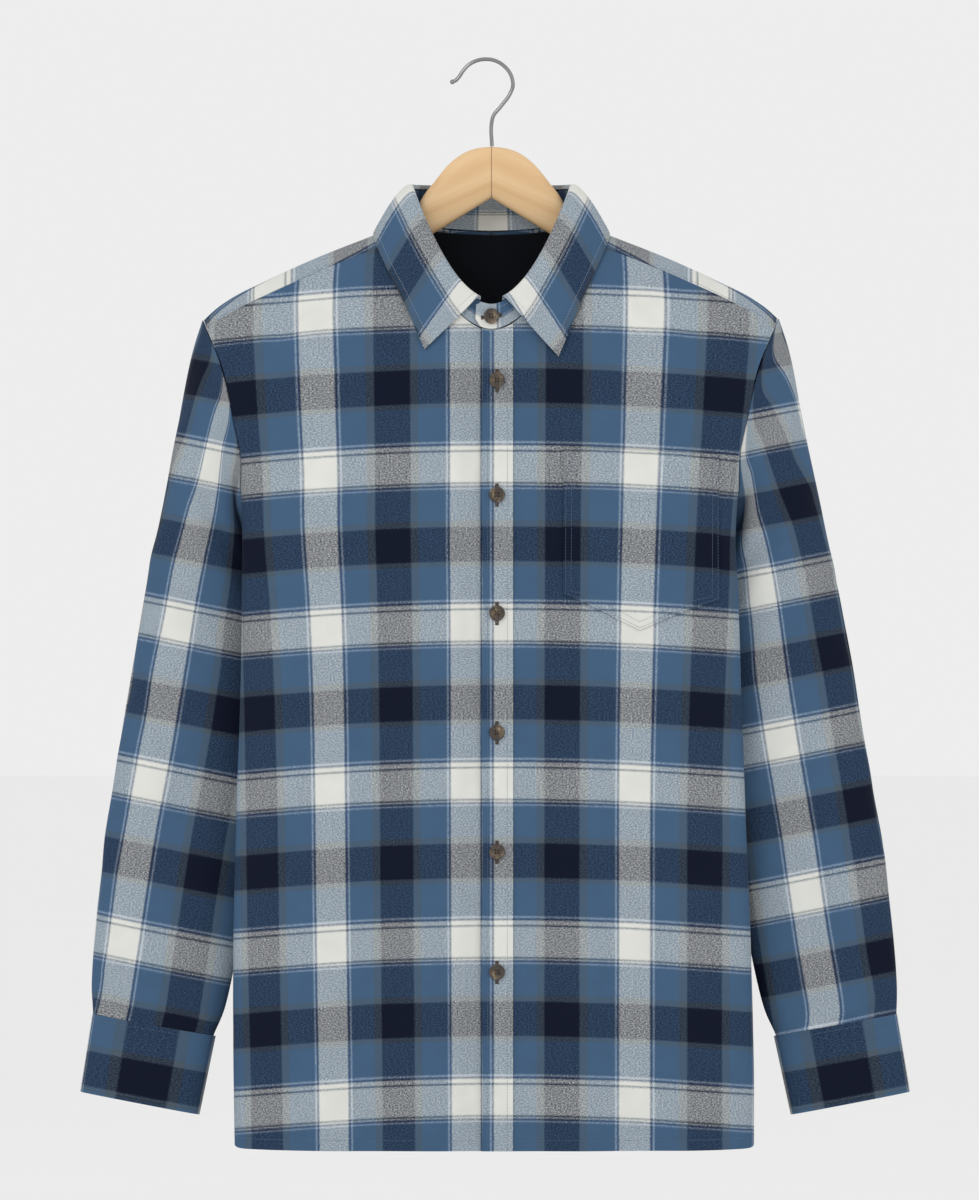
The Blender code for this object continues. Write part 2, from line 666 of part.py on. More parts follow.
def loop_turns(loop, crest):
    """How far round each of the loop's vertices lies: 0 at the crest, half a turn at the underarm."""
    under = ARM_CELLS
    order = np.roll(np.arange(len(loop)), -crest)
    steps = np.linalg.norm(np.diff(loop[np.append(order, order[0])], axis=0), axis=1)
    along = np.concatenate([[0.0], np.cumsum(steps)])
    half = int(np.where(order == under)[0][0])
    turns = np.where(
        np.arange(len(loop)) <= half,
        0.5 * along[:-1] / along[half],
        0.5 + 0.5 * (along[:-1] - along[half]) / (along[-1] - along[half]),
    )
    out = np.empty(len(loop))
    out[order] = turns
    return out * 2 * math.pi


def sleeve_rings(side, turns, shares):
    """Tube through the sleeve table: each ring an oval between its outer and inner points, fuller in the middle."""
    knots = np.linspace(0, 1, len(SLEEVE))
    value = {name: smooth(shares, knots, column(SLEEVE, SLEEVE_COLUMNS, name)) for name in SLEEVE_COLUMNS}
    swing = np.where(side > 0, value["swing"], 0.0)
    return oval(side, value["outer_x"] + swing, value["outer_z"], value["inner_x"] + swing, value["inner_z"],
                value["depth"], turns, pinch=value["pinch"])


def oval(side, outer_x, outer_z, inner_x, inner_z, depth, turns, roundness=2.4, pinch=0.0):
    """Points of superellipses: 0 turns is the outer point, a quarter turn the front, half a turn the inner point.

    The pinch thins the inner half.
    """
    c, s = np.cos(turns), np.sin(turns)
    radius = (np.abs(c) ** roundness + np.abs(s) ** roundness) ** (-1 / roundness)
    c, s = (c * radius)[:, None], (s * radius)[:, None]
    x = (outer_x + inner_x) / 2 + c * (outer_x - inner_x) / 2
    z = (outer_z + inner_z) / 2 + c * (outer_z - inner_z) / 2
    return np.stack([side * x, -s * depth * (1 - pinch * (1 - c) / 2), z], axis=-1)


def make_sleeve(name, side):
    loop, crest = armhole_loop(side)
    turns = loop_turns(loop, crest)
    shares = np.linspace(0, 1, 19) ** 1.08
    tube = sleeve_rings(side, turns, shares)
    under = ((1 - np.cos(turns)) / 2) ** 2
    away = np.stack([side * (0.9 - 0.5 * under), 0.45 * np.sin(turns), 0.75 * under], axis=1)
    start = loop + unit(away) * 1.25
    fade = (1 - ease(shares / 0.26))[None, :, None]
    points = tube + (start[:, None] - tube[:, :1]) * fade
    wall(name, points, FLANNEL, around=True, centre=(side * 250, 0, -520))


def make_cuff(name, side):
    """A band round the wrist whose ends overlap at the back, the outer end fuller by a layer."""
    share = np.linspace(0, 1, 31)
    top, hem = np.array(CUFF_TOP), np.array(CUFF_HEM)
    rows = np.linspace(0, 1, 4)
    value = top + (hem - top) * rows[:, None]
    girth = 2.0 * (value[:, 0] - value[:, 2]).mean() * 1.06
    over = CUFF_OVERLAP / girth
    turns = (CUFF_OPENING - over + share * (1 + over)) * 2 * math.pi
    swing = value[:, 5] if side > 0 else 0 * value[:, 5]
    points = oval(side, value[:, 0] + swing, value[:, 1], value[:, 2] + swing, value[:, 3], value[:, 4], turns)
    middle = points.mean(axis=0, keepdims=True)
    grow = LAYER + 0.5
    lift = grow * ease((share - (1 - over - 0.03)) / (over * 0.3 + 0.02))[:, None, None]
    points = points + unit(points - middle) * lift
    points[:, 0] += (points[:, -1] - points[:, 0]) / 66.0 * 0.6
    wall(name, points, FLANNEL_DARK, centre=tuple(middle.mean(axis=1)[0]))


# --- collar


def stand_edge(turn, top):
    """Points of the stand's lower edge, on the neck seam, or of its top edge; turn is 0 at the back and 1 in front."""
    s, c = np.sin(math.pi * turn), np.cos(math.pi * turn)
    front = c < 0
    if not top:
        x = NECK_WIDTH / 2 * s
        z = np.where(front, neck_front_z(x), neck_back_z(x))
        drop = drop_at(x, z)
        return shoulder(x, np.where(front, -drop, drop))
    x = STAND_TOP_WIDTH / 2 * s
    fall = np.where(front, 1 - np.abs(s) ** 1.9, 0.0)
    z = STAND_TOP_BACK_Z + (STAND_TOP_FRONT_Z - STAND_TOP_BACK_Z) * fall
    y = np.where(front, 56.5, 37.0) * c
    return np.stack([x, y, z], axis=-1)


def stand_points(turn, height):
    """Grid of the stand: straight from its lower edge to its top, the buttoned end a layer out from the other."""
    low, high = stand_edge(turn, False), stand_edge(turn, True)
    low = low + unit(high - low) * (CLOTH / 2 + 1.5 * SEAM_GAP)
    points = low[:, None] + (high - low)[:, None] * height[None, :, None]
    shift = 1.5 * LAYER * (ease((turn - 0.86) / 0.08) - 0.6 * ease((-turn - 0.9) / 0.06))
    points[..., 1] -= shift[:, None]
    return points


def make_stand():
    past = math.asin(-STAND_END_X * 2 / NECK_WIDTH) / math.pi
    under = math.asin(STAND_UNDER_X * 2 / NECK_WIDTH) / math.pi
    turn = np.linspace(-1 - under, 1 + past, 41)
    wall("collar_stand", stand_points(turn, np.linspace(0, 1, 4)), FLANNEL_LIGHT, centre=(0, 0, -160))


def make_collar():
    """The leaf: out of the stand's top edge, over a soft roll, and down to the edge that lies on the shirt."""
    end = 1 - math.asin(LEAF_END_X * 2 / STAND_TOP_WIDTH) / math.pi
    share = np.linspace(-1, 1, 45)
    turn = share * end
    start = stand_points(turn, np.array([1.0]))[:, 0] + (0, 0, CLOTH / 2 + SEAM_GAP)
    x = np.sign(share) * smooth(np.abs(share), column(LEAF, LEAF_COLUMNS, "round"), column(LEAF, LEAF_COLUMNS, "x"))
    drop = smooth(np.abs(share), column(LEAF, LEAF_COLUMNS, "round"), column(LEAF, LEAF_COLUMNS, "drop"))
    drop = drop - 6.0 * ease((share - 0.7) / 0.3)
    places = np.stack([x, drop], axis=-1)[:, None]
    edge, normals = on_form(shoulder, places)
    edge = edge[:, 0] + normals[:, 0] * (LAYER + 1.2)
    out = unit(np.stack([np.sin(math.pi * turn), 1.2 * np.cos(math.pi * turn), 0 * turn], axis=1))
    rise = np.array([0.0, 0.0, 2.0 * ROLL])
    first, second = start + rise + out * 0.8, start + out * 12.0 + (0, 0, 2.0)
    t = np.array([0.0, 0.1, 0.22, 0.36, 0.55, 0.78, 1.0])[None, :, None]
    points = (
        (1 - t) ** 3 * start[:, None]
        + 3 * t * (1 - t) ** 2 * first[:, None]
        + 3 * t**2 * (1 - t) * second[:, None]
        + t**3 * edge[:, None]
    )
    wall("collar", points, FLANNEL, centre=(0, 0, -175))


# --- buttons


def turned(name, place, axis, profile, colour, roughness, metallic=0.0, sides=12):
    """A solid turned round an axis from (radius, height) pairs that start and end on it."""
    axis = np.array(axis, float) / np.linalg.norm(axis)
    across = unit(np.cross(axis, (1.0, 0.0, 0.0) if abs(axis[0]) < 0.8 else (0.0, 0.0, 1.0)))
    up = np.cross(axis, across)
    angle = np.arange(sides) * 2 * math.pi / sides
    rim = np.cos(angle)[:, None] * across + np.sin(angle)[:, None] * up
    points = [np.array(place) + axis * profile[0][1]]
    for radius, height in profile[1:-1]:
        points.extend(np.array(place) + rim * radius + axis * height)
    points.append(np.array(place) + axis * profile[-1][1])
    faces = []
    last = len(points) - 1
    for k in range(sides):
        after = (k + 1) % sides
        faces.append((0, 1 + k, 1 + after))
        for ring in range(len(profile) - 3):
            here, there = 1 + ring * sides, 1 + (ring + 1) * sides
            faces.append((here + k, there + k, there + after))
            faces.append((here + k, there + after, here + after))
        base = 1 + (len(profile) - 3) * sides
        faces.append((base + k, last, base + after))
    return solid(name, np.array(points), np.array(faces), colour, roughness, metallic)


def make_button(name, place, axis):
    radius, thick = BUTTON_DIAMETER / 2, BUTTON_THICKNESS
    profile = ((0, 0), (radius - 0.7, 0), (radius, 0.45 * thick), (radius - 0.7, thick), (radius - 2.4, thick - 0.6),
               (0, thick - 0.6))
    turned(name, place, axis, profile, HORN, 0.3)


def make_buttons():
    seat = LAYER + CLOTH / 2 + 0.3
    for count, height in enumerate(BUTTON_HEIGHTS, 1):
        points, normals = on_form(torso, flat_places(np.full((1, 1), BUTTON_X), np.full((1, 1), height)))
        make_button(f"button_front_{count}", points[0, 0] + normals[0, 0] * seat, normals[0, 0])
    turn = 1 - math.asin(COLLAR_BUTTON[0] * 2 / NECK_WIDTH) / math.pi
    grid = stand_points(np.array([turn - 0.01, turn, turn + 0.01]), np.array([0.4, 0.5, 0.6]))
    axis = unit(np.cross(grid[2, 1] - grid[0, 1], grid[1, 2] - grid[1, 0]))
    axis = axis if axis[1] < 0 else -axis
    make_button("button_collar", grid[1, 1] + axis * (CLOTH / 2 + 0.35), axis)
    for name, side in (("button_cuff_right", -1), ("button_cuff_left", 1)):
        middle = (np.array(CUFF_TOP) + np.array(CUFF_HEM)) / 2
        turn = (CUFF_OPENING - 0.035) * 2 * math.pi
        swing = middle[5] if side > 0 else 0.0
        spots = [
            oval(side, middle[0] + swing, middle[1], middle[2] + swing, middle[3], middle[4] + grow, np.array([turn]))
            for grow in (0.0, 1.0)
        ]
        lean = np.array([0.0, 1.0, 0.0])
        make_button(name, spots[0][0, 0] + lean * (LAYER + 0.5 + CLOTH / 2 + 1.1), lean)


# --- hanger


def make_hanger():
    """Two flat wooden arms, joined at the middle: ovals squared off between the top and bottom lines."""
    table = np.array(HANGER)
    fine = np.concatenate([np.arange(0, 96, 6.0), np.arange(96, 218, 15.0), [218.0, 224.0, 227.5]])
    x = np.concatenate([-fine[::-1], fine[1:]])
    value = {name: smooth(np.abs(x), table[:, 0], table[:, k]) for k, name in enumerate(HANGER_COLUMNS)}
    top, bottom = hanger_top(x, value["top"]), value["bottom"]
    half, middle = (top - bottom) / 2, (top + bottom) / 2
    close = np.where(np.abs(x) > 225, 0.55, np.where(np.abs(x) > 220, 0.86, 1.0))
    turns = (np.arange(14) + 0.5) * 2 * math.pi / 14
    c, s = np.cos(turns), np.sin(turns)
    radius = (np.abs(c) ** 2.3 + np.abs(s) ** 2.3) ** (-1 / 2.3)
    z = middle[:, None] + (half * close)[:, None] * (s * radius)[None]
    y = (value["half_thickness"] * close)[:, None] * (c * radius)[None]
    rings = np.stack([np.broadcast_to(x[:, None], y.shape), y, z], axis=-1)
    count, sides = y.shape
    points = np.concatenate([rings.reshape(-1, 3), rings[:1].mean(axis=1), rings[-1:].mean(axis=1)])
    index = np.arange(count * sides).reshape(count, sides)
    here, after = index, np.roll(index, -1, axis=1)
    faces = [(a, b, c) for a, b, c in zip(here[:-1].ravel(), after[:-1].ravel(), after[1:].ravel())]
    faces += [(a, b, c) for a, b, c in zip(here[:-1].ravel(), after[1:].ravel(), here[1:].ravel())]
    first, last = count * sides, count * sides + 1
    faces += [(first, b, a) for a, b in zip(here[0], after[0])]
    faces += [(last, a, b) for a, b in zip(here[-1], after[-1])]
    solid("hanger", points, np.array(faces), (0.78, 0.56, 0.33), 0.4)


def hanger_top(x, hump):
    """The arms' top follows the crest of the shoulders just under the cloth; the middle rises in the hump."""
    return np.where(np.abs(x) > 79, np.minimum(crest_z(x) - CLOTH / 2 - HANGER_CLEAR, hump + 1.5), hump)


def make_hook():
    route = np.array(HOOK_ROUTE)
    steps = np.linalg.norm(np.diff(route, axis=0), axis=1)
    knots = np.concatenate([[0.0], np.cumsum(steps)])
    at = np.linspace(0, knots[-1], 52)
    curve = bpy.data.curves.new("hanger_hook", "CURVE")
    curve.dimensions = "3D"
    curve.bevel_depth = HOOK_WIRE / 2 * MM
    curve.bevel_resolution = 2
    curve.use_fill_caps = True
    spline = curve.splines.new("POLY")
    spline.points.add(len(at) - 1)
    for point, x, z in zip(spline.points, smooth(at, knots, route[:, 0]), smooth(at, knots, route[:, 1])):
        point.co = (x * MM, 0.0, z * MM, 1.0)
    hook = bpy.data.objects.new("hanger_hook", curve)
    bpy.context.scene.collection.objects.link(hook)
    curve.materials.append(finish("hanger_hook", (0.75, 0.75, 0.76), 0.2, 1.0))


def main():
    for obj in list(bpy.data.objects):
        bpy.data.objects.remove(obj)
    make_fronts()
    make_back()
    make_yoke()
    make_yoke_lining()
    make_placket()
    make_pocket()
    for name, side in (("right", -1), ("left", 1)):
        make_sleeve(f"sleeve_{name}", side)
        make_cuff(f"cuff_{name}", side)
    make_stand()
    make_collar()
    make_buttons()
    make_hanger()
    make_hook()


main()
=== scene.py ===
"""Dresses the flannel shirt on its hanger: woven check, creases, sewing, horn buttons, wood and wire.

Every cloth piece is drawn again on the form of its solid, from the same sizes, with more points. Lengths are in
millimetres and become metres as each mesh is made. +X is the wearer's left, -Y the front, +Z up.
"""

import math

import bmesh
import bpy
import numpy as np
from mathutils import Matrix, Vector


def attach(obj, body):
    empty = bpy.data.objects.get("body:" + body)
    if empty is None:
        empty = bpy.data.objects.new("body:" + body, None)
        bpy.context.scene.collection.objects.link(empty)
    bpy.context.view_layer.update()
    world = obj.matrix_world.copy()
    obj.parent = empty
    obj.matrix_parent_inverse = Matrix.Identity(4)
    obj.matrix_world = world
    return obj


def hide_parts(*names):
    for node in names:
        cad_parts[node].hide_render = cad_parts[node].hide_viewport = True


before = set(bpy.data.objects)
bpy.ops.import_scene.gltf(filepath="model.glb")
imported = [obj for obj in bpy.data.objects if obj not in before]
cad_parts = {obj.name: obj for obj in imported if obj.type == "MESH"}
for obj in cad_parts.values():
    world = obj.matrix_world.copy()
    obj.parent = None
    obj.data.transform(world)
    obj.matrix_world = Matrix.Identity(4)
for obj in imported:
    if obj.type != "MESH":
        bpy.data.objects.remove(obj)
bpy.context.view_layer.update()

MM = 0.001  # metres in a millimetre

# Cloth and seams
CLOTH = 1.2  # wall of one cut piece
SEAM_GAP = 0.35  # between the pieces at a seam
LAYER = CLOTH + SEAM_GAP  # how far out a piece lies that is sewn onto another

# The body
HEM_Z = -897.6
HEM_SIDE_RISE = 16.5
NECK_WIDTH = 144.0
NECK_SIDE_Z = -133.0
NECK_FRONT_Z = -222.0
NECK_BACK_Z = -139.0
YOKE_FRONT_DROP = 19.5  # from the shoulder's crest to the front yoke seam, along the cloth
YOKE_BACK_Z = -228.0
UNDERARM_Z = -388.0
CREST_ROUND = 10.0  # how soon the cloth bends over the shoulder's crest
FRONT_FALL = 50.0  # drop over which the front swells out below the crest
BACK_FALL = 38.0
SQUARENESS = 6.0  # of the ring
TUCK_HALF_OPENING = 0.36  # of the ring's depth

# One row for each height: the half widths, the depths and how far the sides fold in
TORSO_COLUMNS = ("z", "right_side", "left_side", "front", "back", "tuck")
TORSO = (
    (-900.0, 213.0, 217.5, 55.0, 51.0, 7.0),
    (-856.0, 214.0, 218.0, 56.0, 52.0, 10.0),
    (-735.0, 215.5, 216.5, 59.0, 55.0, 26.0),
    (-619.0, 213.5, 212.5, 62.0, 58.0, 38.0),
    (-526.0, 210.5, 209.5, 63.0, 60.0, 42.0),
    (-446.0, 209.0, 207.0, 64.0, 60.0, 38.0),
    (-376.0, 208.5, 204.5, 64.0, 60.0, 24.0),
    (-345.0, 209.0, 206.5, 64.0, 59.0, 8.0),
    (-291.0, 228.5, 226.0, 64.0, 57.0, 0.0),
    (-250.0, 239.0, 237.0, 64.0, 55.0, 0.0),
    (-213.0, 255.0, 253.0, 65.0, 53.0, 0.0),
    (-120.0, 262.0, 261.0, 66.0, 52.0, 0.0),
)

# The crest of the shoulders, from the neck out
CREST_COLUMNS = ("x", "z")
CREST = (
    (0.0, -110.0),
    (72.0, -133.0),
    (95.0, -142.2),
    (149.0, -163.7),
    (185.0, -180.2),
    (217.0, -196.6),
    (228.0, -204.4),
    (237.0, -213.0),
    (262.0, -245.0),
)

# The armhole's front half, as the ring's angle from the centre front at each height
ARMHOLE_COLUMNS = ("z", "degrees")
ARMHOLE = (
    (-388.0, 90.0),
    (-381.0, 76.0),
    (-364.0, 64.0),
    (-345.0, 56.0),
    (-322.0, 50.5),
    (-291.0, 48.2),
    (-250.0, 47.9),
    (-205.0, 47.9),
)

# Fronts, placket and pocket
PLACKET_EDGES = (-7.8, 17.7)
UNDERLAP_X = 15.0  # how far the wearer's right front runs under the placket
UNDERLAP_DROP = 2 * LAYER
BUTTON_X = 4.5
BUTTON_HEIGHTS = (-263.4, -357.4, -454.7, -552.8, -650.9, -749.9)
BUTTON_DIAMETER = 13.0
BUTTON_THICKNESS = 2.6
COLLAR_BUTTON = (0.0, -211.5)
POCKET_TOP = ((59.6, -318.7), (188.2, -324.5))
POCKET_BOTTOM = ((59.0, -439.5), (75.4, -445.6), (122.0, -468.7), (158.7, -453.0), (187.2, -444.0))

# The sleeve, as rings: the outer and inner points of each as seen from the front, and its half depth
SLEEVE_COLUMNS = ("outer_x", "outer_z", "inner_x", "inner_z", "depth", "pinch", "swing")
SLEEVE = (
    (237.0, -213.0, 187.0, -388.0, 46.0, 0.0, 0.0),
    (247.0, -246.0, 194.5, -396.0, 42.0, 0.45, 0.0),
    (262.0, -320.0, 191.5, -424.0, 38.0, 0.5, 0.0),
    (273.0, -375.0, 190.0, -456.0, 33.0, 0.5, 0.3),
    (283.0, -425.0, 189.0, -488.0, 29.0, 0.45, 0.6),
    (295.0, -490.0, 188.0, -531.0, 27.0, 0.4, 1.0),
    (306.0, -560.0, 190.0, -588.0, 26.0, 0.35, 1.6),
    (317.0, -630.0, 198.0, -653.0, 25.0, 0.3, 2.4),
    (325.0, -700.0, 208.5, -721.0, 23.0, 0.2, 3.6),
    (329.5, -757.0, 219.5, -776.0, 20.0, 0.1, 4.8),
    (328.8, -785.2, 230.0, -803.0, 14.6, 0.0, 5.4),
)
CUFF_TOP = (328.8, -785.6, 230.0, -803.4, 14.5, 5.4)
CUFF_HEM = (338.5, -850.6, 243.0, -869.0, 13.0, 6.0)
CUFF_OVERLAP = 24.0
CUFF_OPENING = 0.64  # of the way round from the outer edge, over the front, to the opening at the back

# The collar's leaf, half of it: how far round from the back, and where its edge lies on the shirt
LEAF_COLUMNS = ("round", "x", "drop")
LEAF = (
    (0.0, 0.0, 52.0),
    (0.2, 38.0, 49.0),
    (0.36, 72.0, 32.0),
    (0.46, 92.0, 11.0),
    (0.54, 96.0, -4.0),
    (0.64, 94.0, -18.0),
    (0.76, 84.5, -45.0),
    (0.88, 71.0, -78.0),
    (1.0, 55.0, -120.5),
)
STAND_TOP_BACK_Z = -105.0
STAND_TOP_FRONT_Z = -200.5
STAND_TOP_WIDTH = 130.0
STAND_END_X = -13.6  # the buttoned end, past the centre
STAND_UNDER_X = 9.0
LEAF_END_X = 9.0
ROLL = 4.0  # height of the collar's roll above the stand

# The hanger, half of it
HANGER_COLUMNS = ("x", "top", "bottom", "half_thickness")
HANGER = (
    (0.0, -69.3, -111.7, 7.0),
    (12.0, -70.6, -119.1, 7.0),
    (23.0, -74.6, -125.8, 7.0),
    (36.7, -85.3, -134.2, 7.0),
    (47.4, -98.5, -140.8, 7.0),
    (60.0, -116.5, -148.4, 7.0),
    (65.0, -128.5, -151.4, 6.6),
    (69.0, -136.8, -153.8, 6.2),
    (79.0, -139.8, -159.5, 6.2),
    (92.0, -142.5, -166.8, 6.4),
    (110.0, -152.8, -176.4, 6.2),
    (140.0, -164.6, -189.6, 6.0),
    (170.0, -177.4, -201.0, 6.0),
    (200.0, -191.6, -213.6, 6.0),
    (218.0, -201.4, -221.2, 6.0),
    (226.0, -207.8, -221.6, 5.4),
)
HANGER_CLEAR = 0.9  # under the cloth at the crest
HOOK_WIRE = 3.2
HOOK_ROUTE = (
    (0.3, -69.0),
    (0.3, -48.5),
    (1.1, -44.9),
    (7.8, -35.9),
    (15.1, -26.0),
    (17.7, -19.0),
    (17.4, -14.4),
    (15.1, -8.2),
    (9.7, -2.0),
    (2.6, 2.0),
    (-4.6, 3.05),
    (-11.8, 2.0),
    (-18.1, -1.1),
    (-23.4, -6.4),
    (-27.0, -11.8),
    (-29.7, -14.5),
    (-32.4, -15.7),
)


# ----------------------------------------------------------------------
# Curves and grids


def smooth(at, knots, values):
    """Value at `at` of the cubic that passes through the table, with each knot's slope from its neighbours."""
    knots, values = np.asarray(knots, float), np.asarray(values, float)
    if knots[0] > knots[-1]:
        knots, values = knots[::-1], values[::-1]
    slopes = np.gradient(values, knots)
    i = np.clip(np.searchsorted(knots, at) - 1, 0, len(knots) - 2)
    span = knots[i + 1] - knots[i]
    t = np.clip((at - knots[i]) / span, 0.0, 1.0)
    a = values[i] * (1 + 2 * t) * (1 - t) ** 2 + slopes[i] * span * t * (1 - t) ** 2
    b = values[i + 1] * (3 - 2 * t) * t**2 - slopes[i + 1] * span * t**2 * (1 - t)
    return a + b


def column(table, names, name):
    return np.array(table)[:, names.index(name)]


def ease(t):
    """0 to 1 with level ends."""
    t = np.clip(t, 0.0, 1.0)
    return t * t * (3 - 2 * t)


def unit(vectors):
    return vectors / np.maximum(np.linalg.norm(vectors, axis=-1, keepdims=True), 1e-9)


def patch(inner, outer, low, high, hold=2.0):
    """Grid between four edges: columns run straight from low to high, and are drawn to the inner and outer edges.

    The draw fades away from an edge as a power, so that a curved edge moves only the columns near it.
    """
    v = np.linspace(0, 1, len(inner))[None, :, None]
    u = np.linspace(0, 1, len(low))[:, None, None]
    along = (1 - v) * low[:, None] + v * high[:, None]
    return along + (inner - along[0])[None] * (1 - u) ** hold + (outer - along[-1])[None] * u**hold


# ----------------------------------------------------------------------
# The form that every body piece lies on


def crest_z(x):
    return smooth(np.abs(x), column(CREST, CREST_COLUMNS, "x"), column(CREST, CREST_COLUMNS, "z"))


def torso_size(name, z):
    return smooth(z, column(TORSO, TORSO_COLUMNS, "z"), column(TORSO, TORSO_COLUMNS, name))


def half_width(z, side):
    """Half width of the ring at z; side is -1 on the wearer's right and +1 on the left."""
    return np.where(side < 0, torso_size("right_side", z), torso_size("left_side", z))


def swell(drop, fall):
    """Share of its full depth that the cloth has reached at this drop below the crest."""
    along = np.sqrt(np.maximum(drop, 0.0) ** 2 + 2 * CREST_ROUND * np.maximum(drop, 0.0))
    return 1 - np.exp(-along / fall)


def torso(angle, z):
    """Points of the body at a ring angle (radians from the centre front, positive to the wearer's left) and a height.

    A superellipse of the table's width and depth. Its depth is scaled by the swell below the crest, and its sides are
    pushed in by the tuck, which fades as a bell curve away from the side seam.
    """
    angle, z = np.broadcast_arrays(np.asarray(angle, float), np.asarray(z, float))
    s, c = np.sin(angle), np.cos(angle)
    radius = (np.abs(s) ** SQUARENESS + np.abs(c) ** SQUARENESS) ** (-1 / SQUARENESS)
    across, depth = s * radius, c * radius
    tuck = torso_size("tuck", z) * np.exp(-((depth / TUCK_HALF_OPENING) ** 2))
    x = across * half_width(z, across) - np.sign(across) * tuck * np.abs(across) ** 8
    drop = crest_z(x) - z
    front = torso_size("front", z) * swell(drop, FRONT_FALL)
    back = torso_size("back", z) * swell(drop, BACK_FALL)
    y = -depth * np.where(depth > 0, front, back)
    return np.stack([x, y, z], axis=-1)


def ring_angle(x, z, back=False):
    """The ring angle at which the body, without its tuck, is x off the centre at height z."""
    across = np.clip(np.abs(x) / half_width(z, x), 0, 0.9999)
    depth = (1 - across**SQUARENESS) ** (1 / SQUARENESS)
    angle = np.arctan2(across, -depth if back else depth)
    return np.sign(x) * angle


def ring_lengths(z, back):
    """Lengths along the half ring from its centre to 300 angles, one row for each height."""
    turn = np.linspace(0, 0.53 * math.pi, 300)
    points = torso(math.pi - turn if back else turn, np.asarray(z)[..., None])
    steps = np.linalg.norm(np.diff(points, axis=-2), axis=-1)
    return turn, np.concatenate([np.zeros_like(steps[..., :1]), np.cumsum(steps, axis=-1)], axis=-1)


def ring_to_cloth(places, back=False):
    """Ring angles and heights turned into lengths along the cloth from the centre, and heights."""
    angle, z = places[..., 0], places[..., 1]
    turn, lengths = ring_lengths(z, back)
    away = math.pi - np.abs(angle) if back else np.abs(angle)
    step = np.clip(away / turn[1], 0, len(turn) - 1.001)
    i = step.astype(int)
    low = np.take_along_axis(lengths, i[..., None], -1)[..., 0]
    high = np.take_along_axis(lengths, i[..., None] + 1, -1)[..., 0]
    return np.stack([np.sign(angle) * (low + (high - low) * (step - i)), z], axis=-1)


def cloth_to_ring(places, back=False):
    """The reverse of ring_to_cloth."""
    length, z = places[..., 0], places[..., 1]
    turn, lengths = ring_lengths(z, back)
    i = np.clip((lengths < np.abs(length)[..., None]).sum(axis=-1) - 1, 0, len(turn) - 2)
    low = np.take_along_axis(lengths, i[..., None], -1)[..., 0]
    high = np.take_along_axis(lengths, i[..., None] + 1, -1)[..., 0]
    away = turn[i] + turn[1] * (np.abs(length) - low) / (high - low)
    return np.stack([np.where(length < 0, -1, 1) * (math.pi - away if back else away), z], axis=-1)


def cloth_patch(inner, outer, low, high, back=False):
    """A patch of the body between four edges of ring angles and heights, even along the cloth."""
    return cloth_to_ring(patch(*(ring_to_cloth(edge, back) for edge in (inner, outer, low, high))), back)


def crest_height(x, drop):
    """Height of the cloth at a signed length over the crest."""
    return crest_z(x) - (np.sqrt(drop**2 + CREST_ROUND**2) - CREST_ROUND)


def shoulder(x, drop):
    """Points of the body near the shoulders: x across, and the length over the crest, front negative, back positive."""
    x, drop = np.broadcast_arrays(np.asarray(x, float), np.asarray(drop, float))
    z = crest_height(x, drop)
    across = np.clip(np.abs(x) / half_width(z, x), 0, 0.9999)
    depth = (1 - across**SQUARENESS) ** (1 / SQUARENESS)
    fall = np.where(drop < 0, FRONT_FALL, BACK_FALL)
    size = np.where(drop < 0, torso_size("front", z), torso_size("back", z))
    y = np.sign(drop) * size * depth * (1 - np.exp(-np.abs(drop) / fall))
    return np.stack([x, y, z], axis=-1)


def drop_at(x, z):
    """Length over the crest at which the cloth is at height z."""
    fall = np.maximum(crest_z(x) - z, 0.0)
    return np.sqrt(fall**2 + 2 * CREST_ROUND * fall)


def hem_z(angle, fall=0.0):
    """The hem rises towards the side seams."""
    s = np.abs(np.sin(angle))
    return HEM_Z + fall + HEM_SIDE_RISE * (0.4 * s**5 + 0.6 * s**20)


def neck_front_z(x):
    return NECK_FRONT_Z + (NECK_SIDE_Z - NECK_FRONT_Z) * (np.abs(x) / (NECK_WIDTH / 2)) ** 1.9


def neck_back_z(x):
    return NECK_BACK_Z + (NECK_SIDE_Z - NECK_BACK_Z) * (np.abs(x) / (NECK_WIDTH / 2)) ** 2


def armhole_x(drop, side):
    """Where the armhole crosses the shoulder at this length over the crest, found by closing in on it."""
    x = np.full_like(np.asarray(drop, float), side * 237.0)
    lean = math.radians(ARMHOLE[-1][1])
    across = math.sin(lean) * (math.sin(lean) ** SQUARENESS + math.cos(lean) ** SQUARENESS) ** (-1 / SQUARENESS)
    for _ in range(6):
        x = side * across * half_width(crest_height(x, drop), side)
    return x


def armhole_edge(top_z, side, count, back=False):
    """Ring angles and heights down the armhole from top_z to the underarm."""
    share = np.linspace(0, 1, count)
    z = top_z + (UNDERARM_Z - top_z) * np.sin(share * math.pi / 2) ** 1.1
    angle = np.radians(smooth(z, column(ARMHOLE, ARMHOLE_COLUMNS, "z"), column(ARMHOLE, ARMHOLE_COLUMNS, "degrees")))
    return np.stack([side * (math.pi - angle if back else angle), z], axis=1)


# Cells along each stretch of the panels' edges, which neighbours share
NECK_CELLS = 6
SEAM_CELLS = 7
SIDE_CELLS = 13
ARM_CELLS = 7
YOKE_DROPS = (0.0, 0.26, 0.5, 1.0)  # front seam to crest
YOKE_BACK_SHARES = (0.17, 0.42, 0.7, 1.0)  # crest to back seam


def even(form, edge, cells):
    """The edge, given as many places on a form, at even steps along the cloth."""
    points = form(edge[:, 0], edge[:, 1])
    along = np.concatenate([[0.0], np.cumsum(np.linalg.norm(np.diff(points, axis=0), axis=1))])
    at = np.linspace(0, along[-1], cells + 1)
    return np.stack([np.interp(at, along, edge[:, 0]), np.interp(at, along, edge[:, 1])], axis=1)


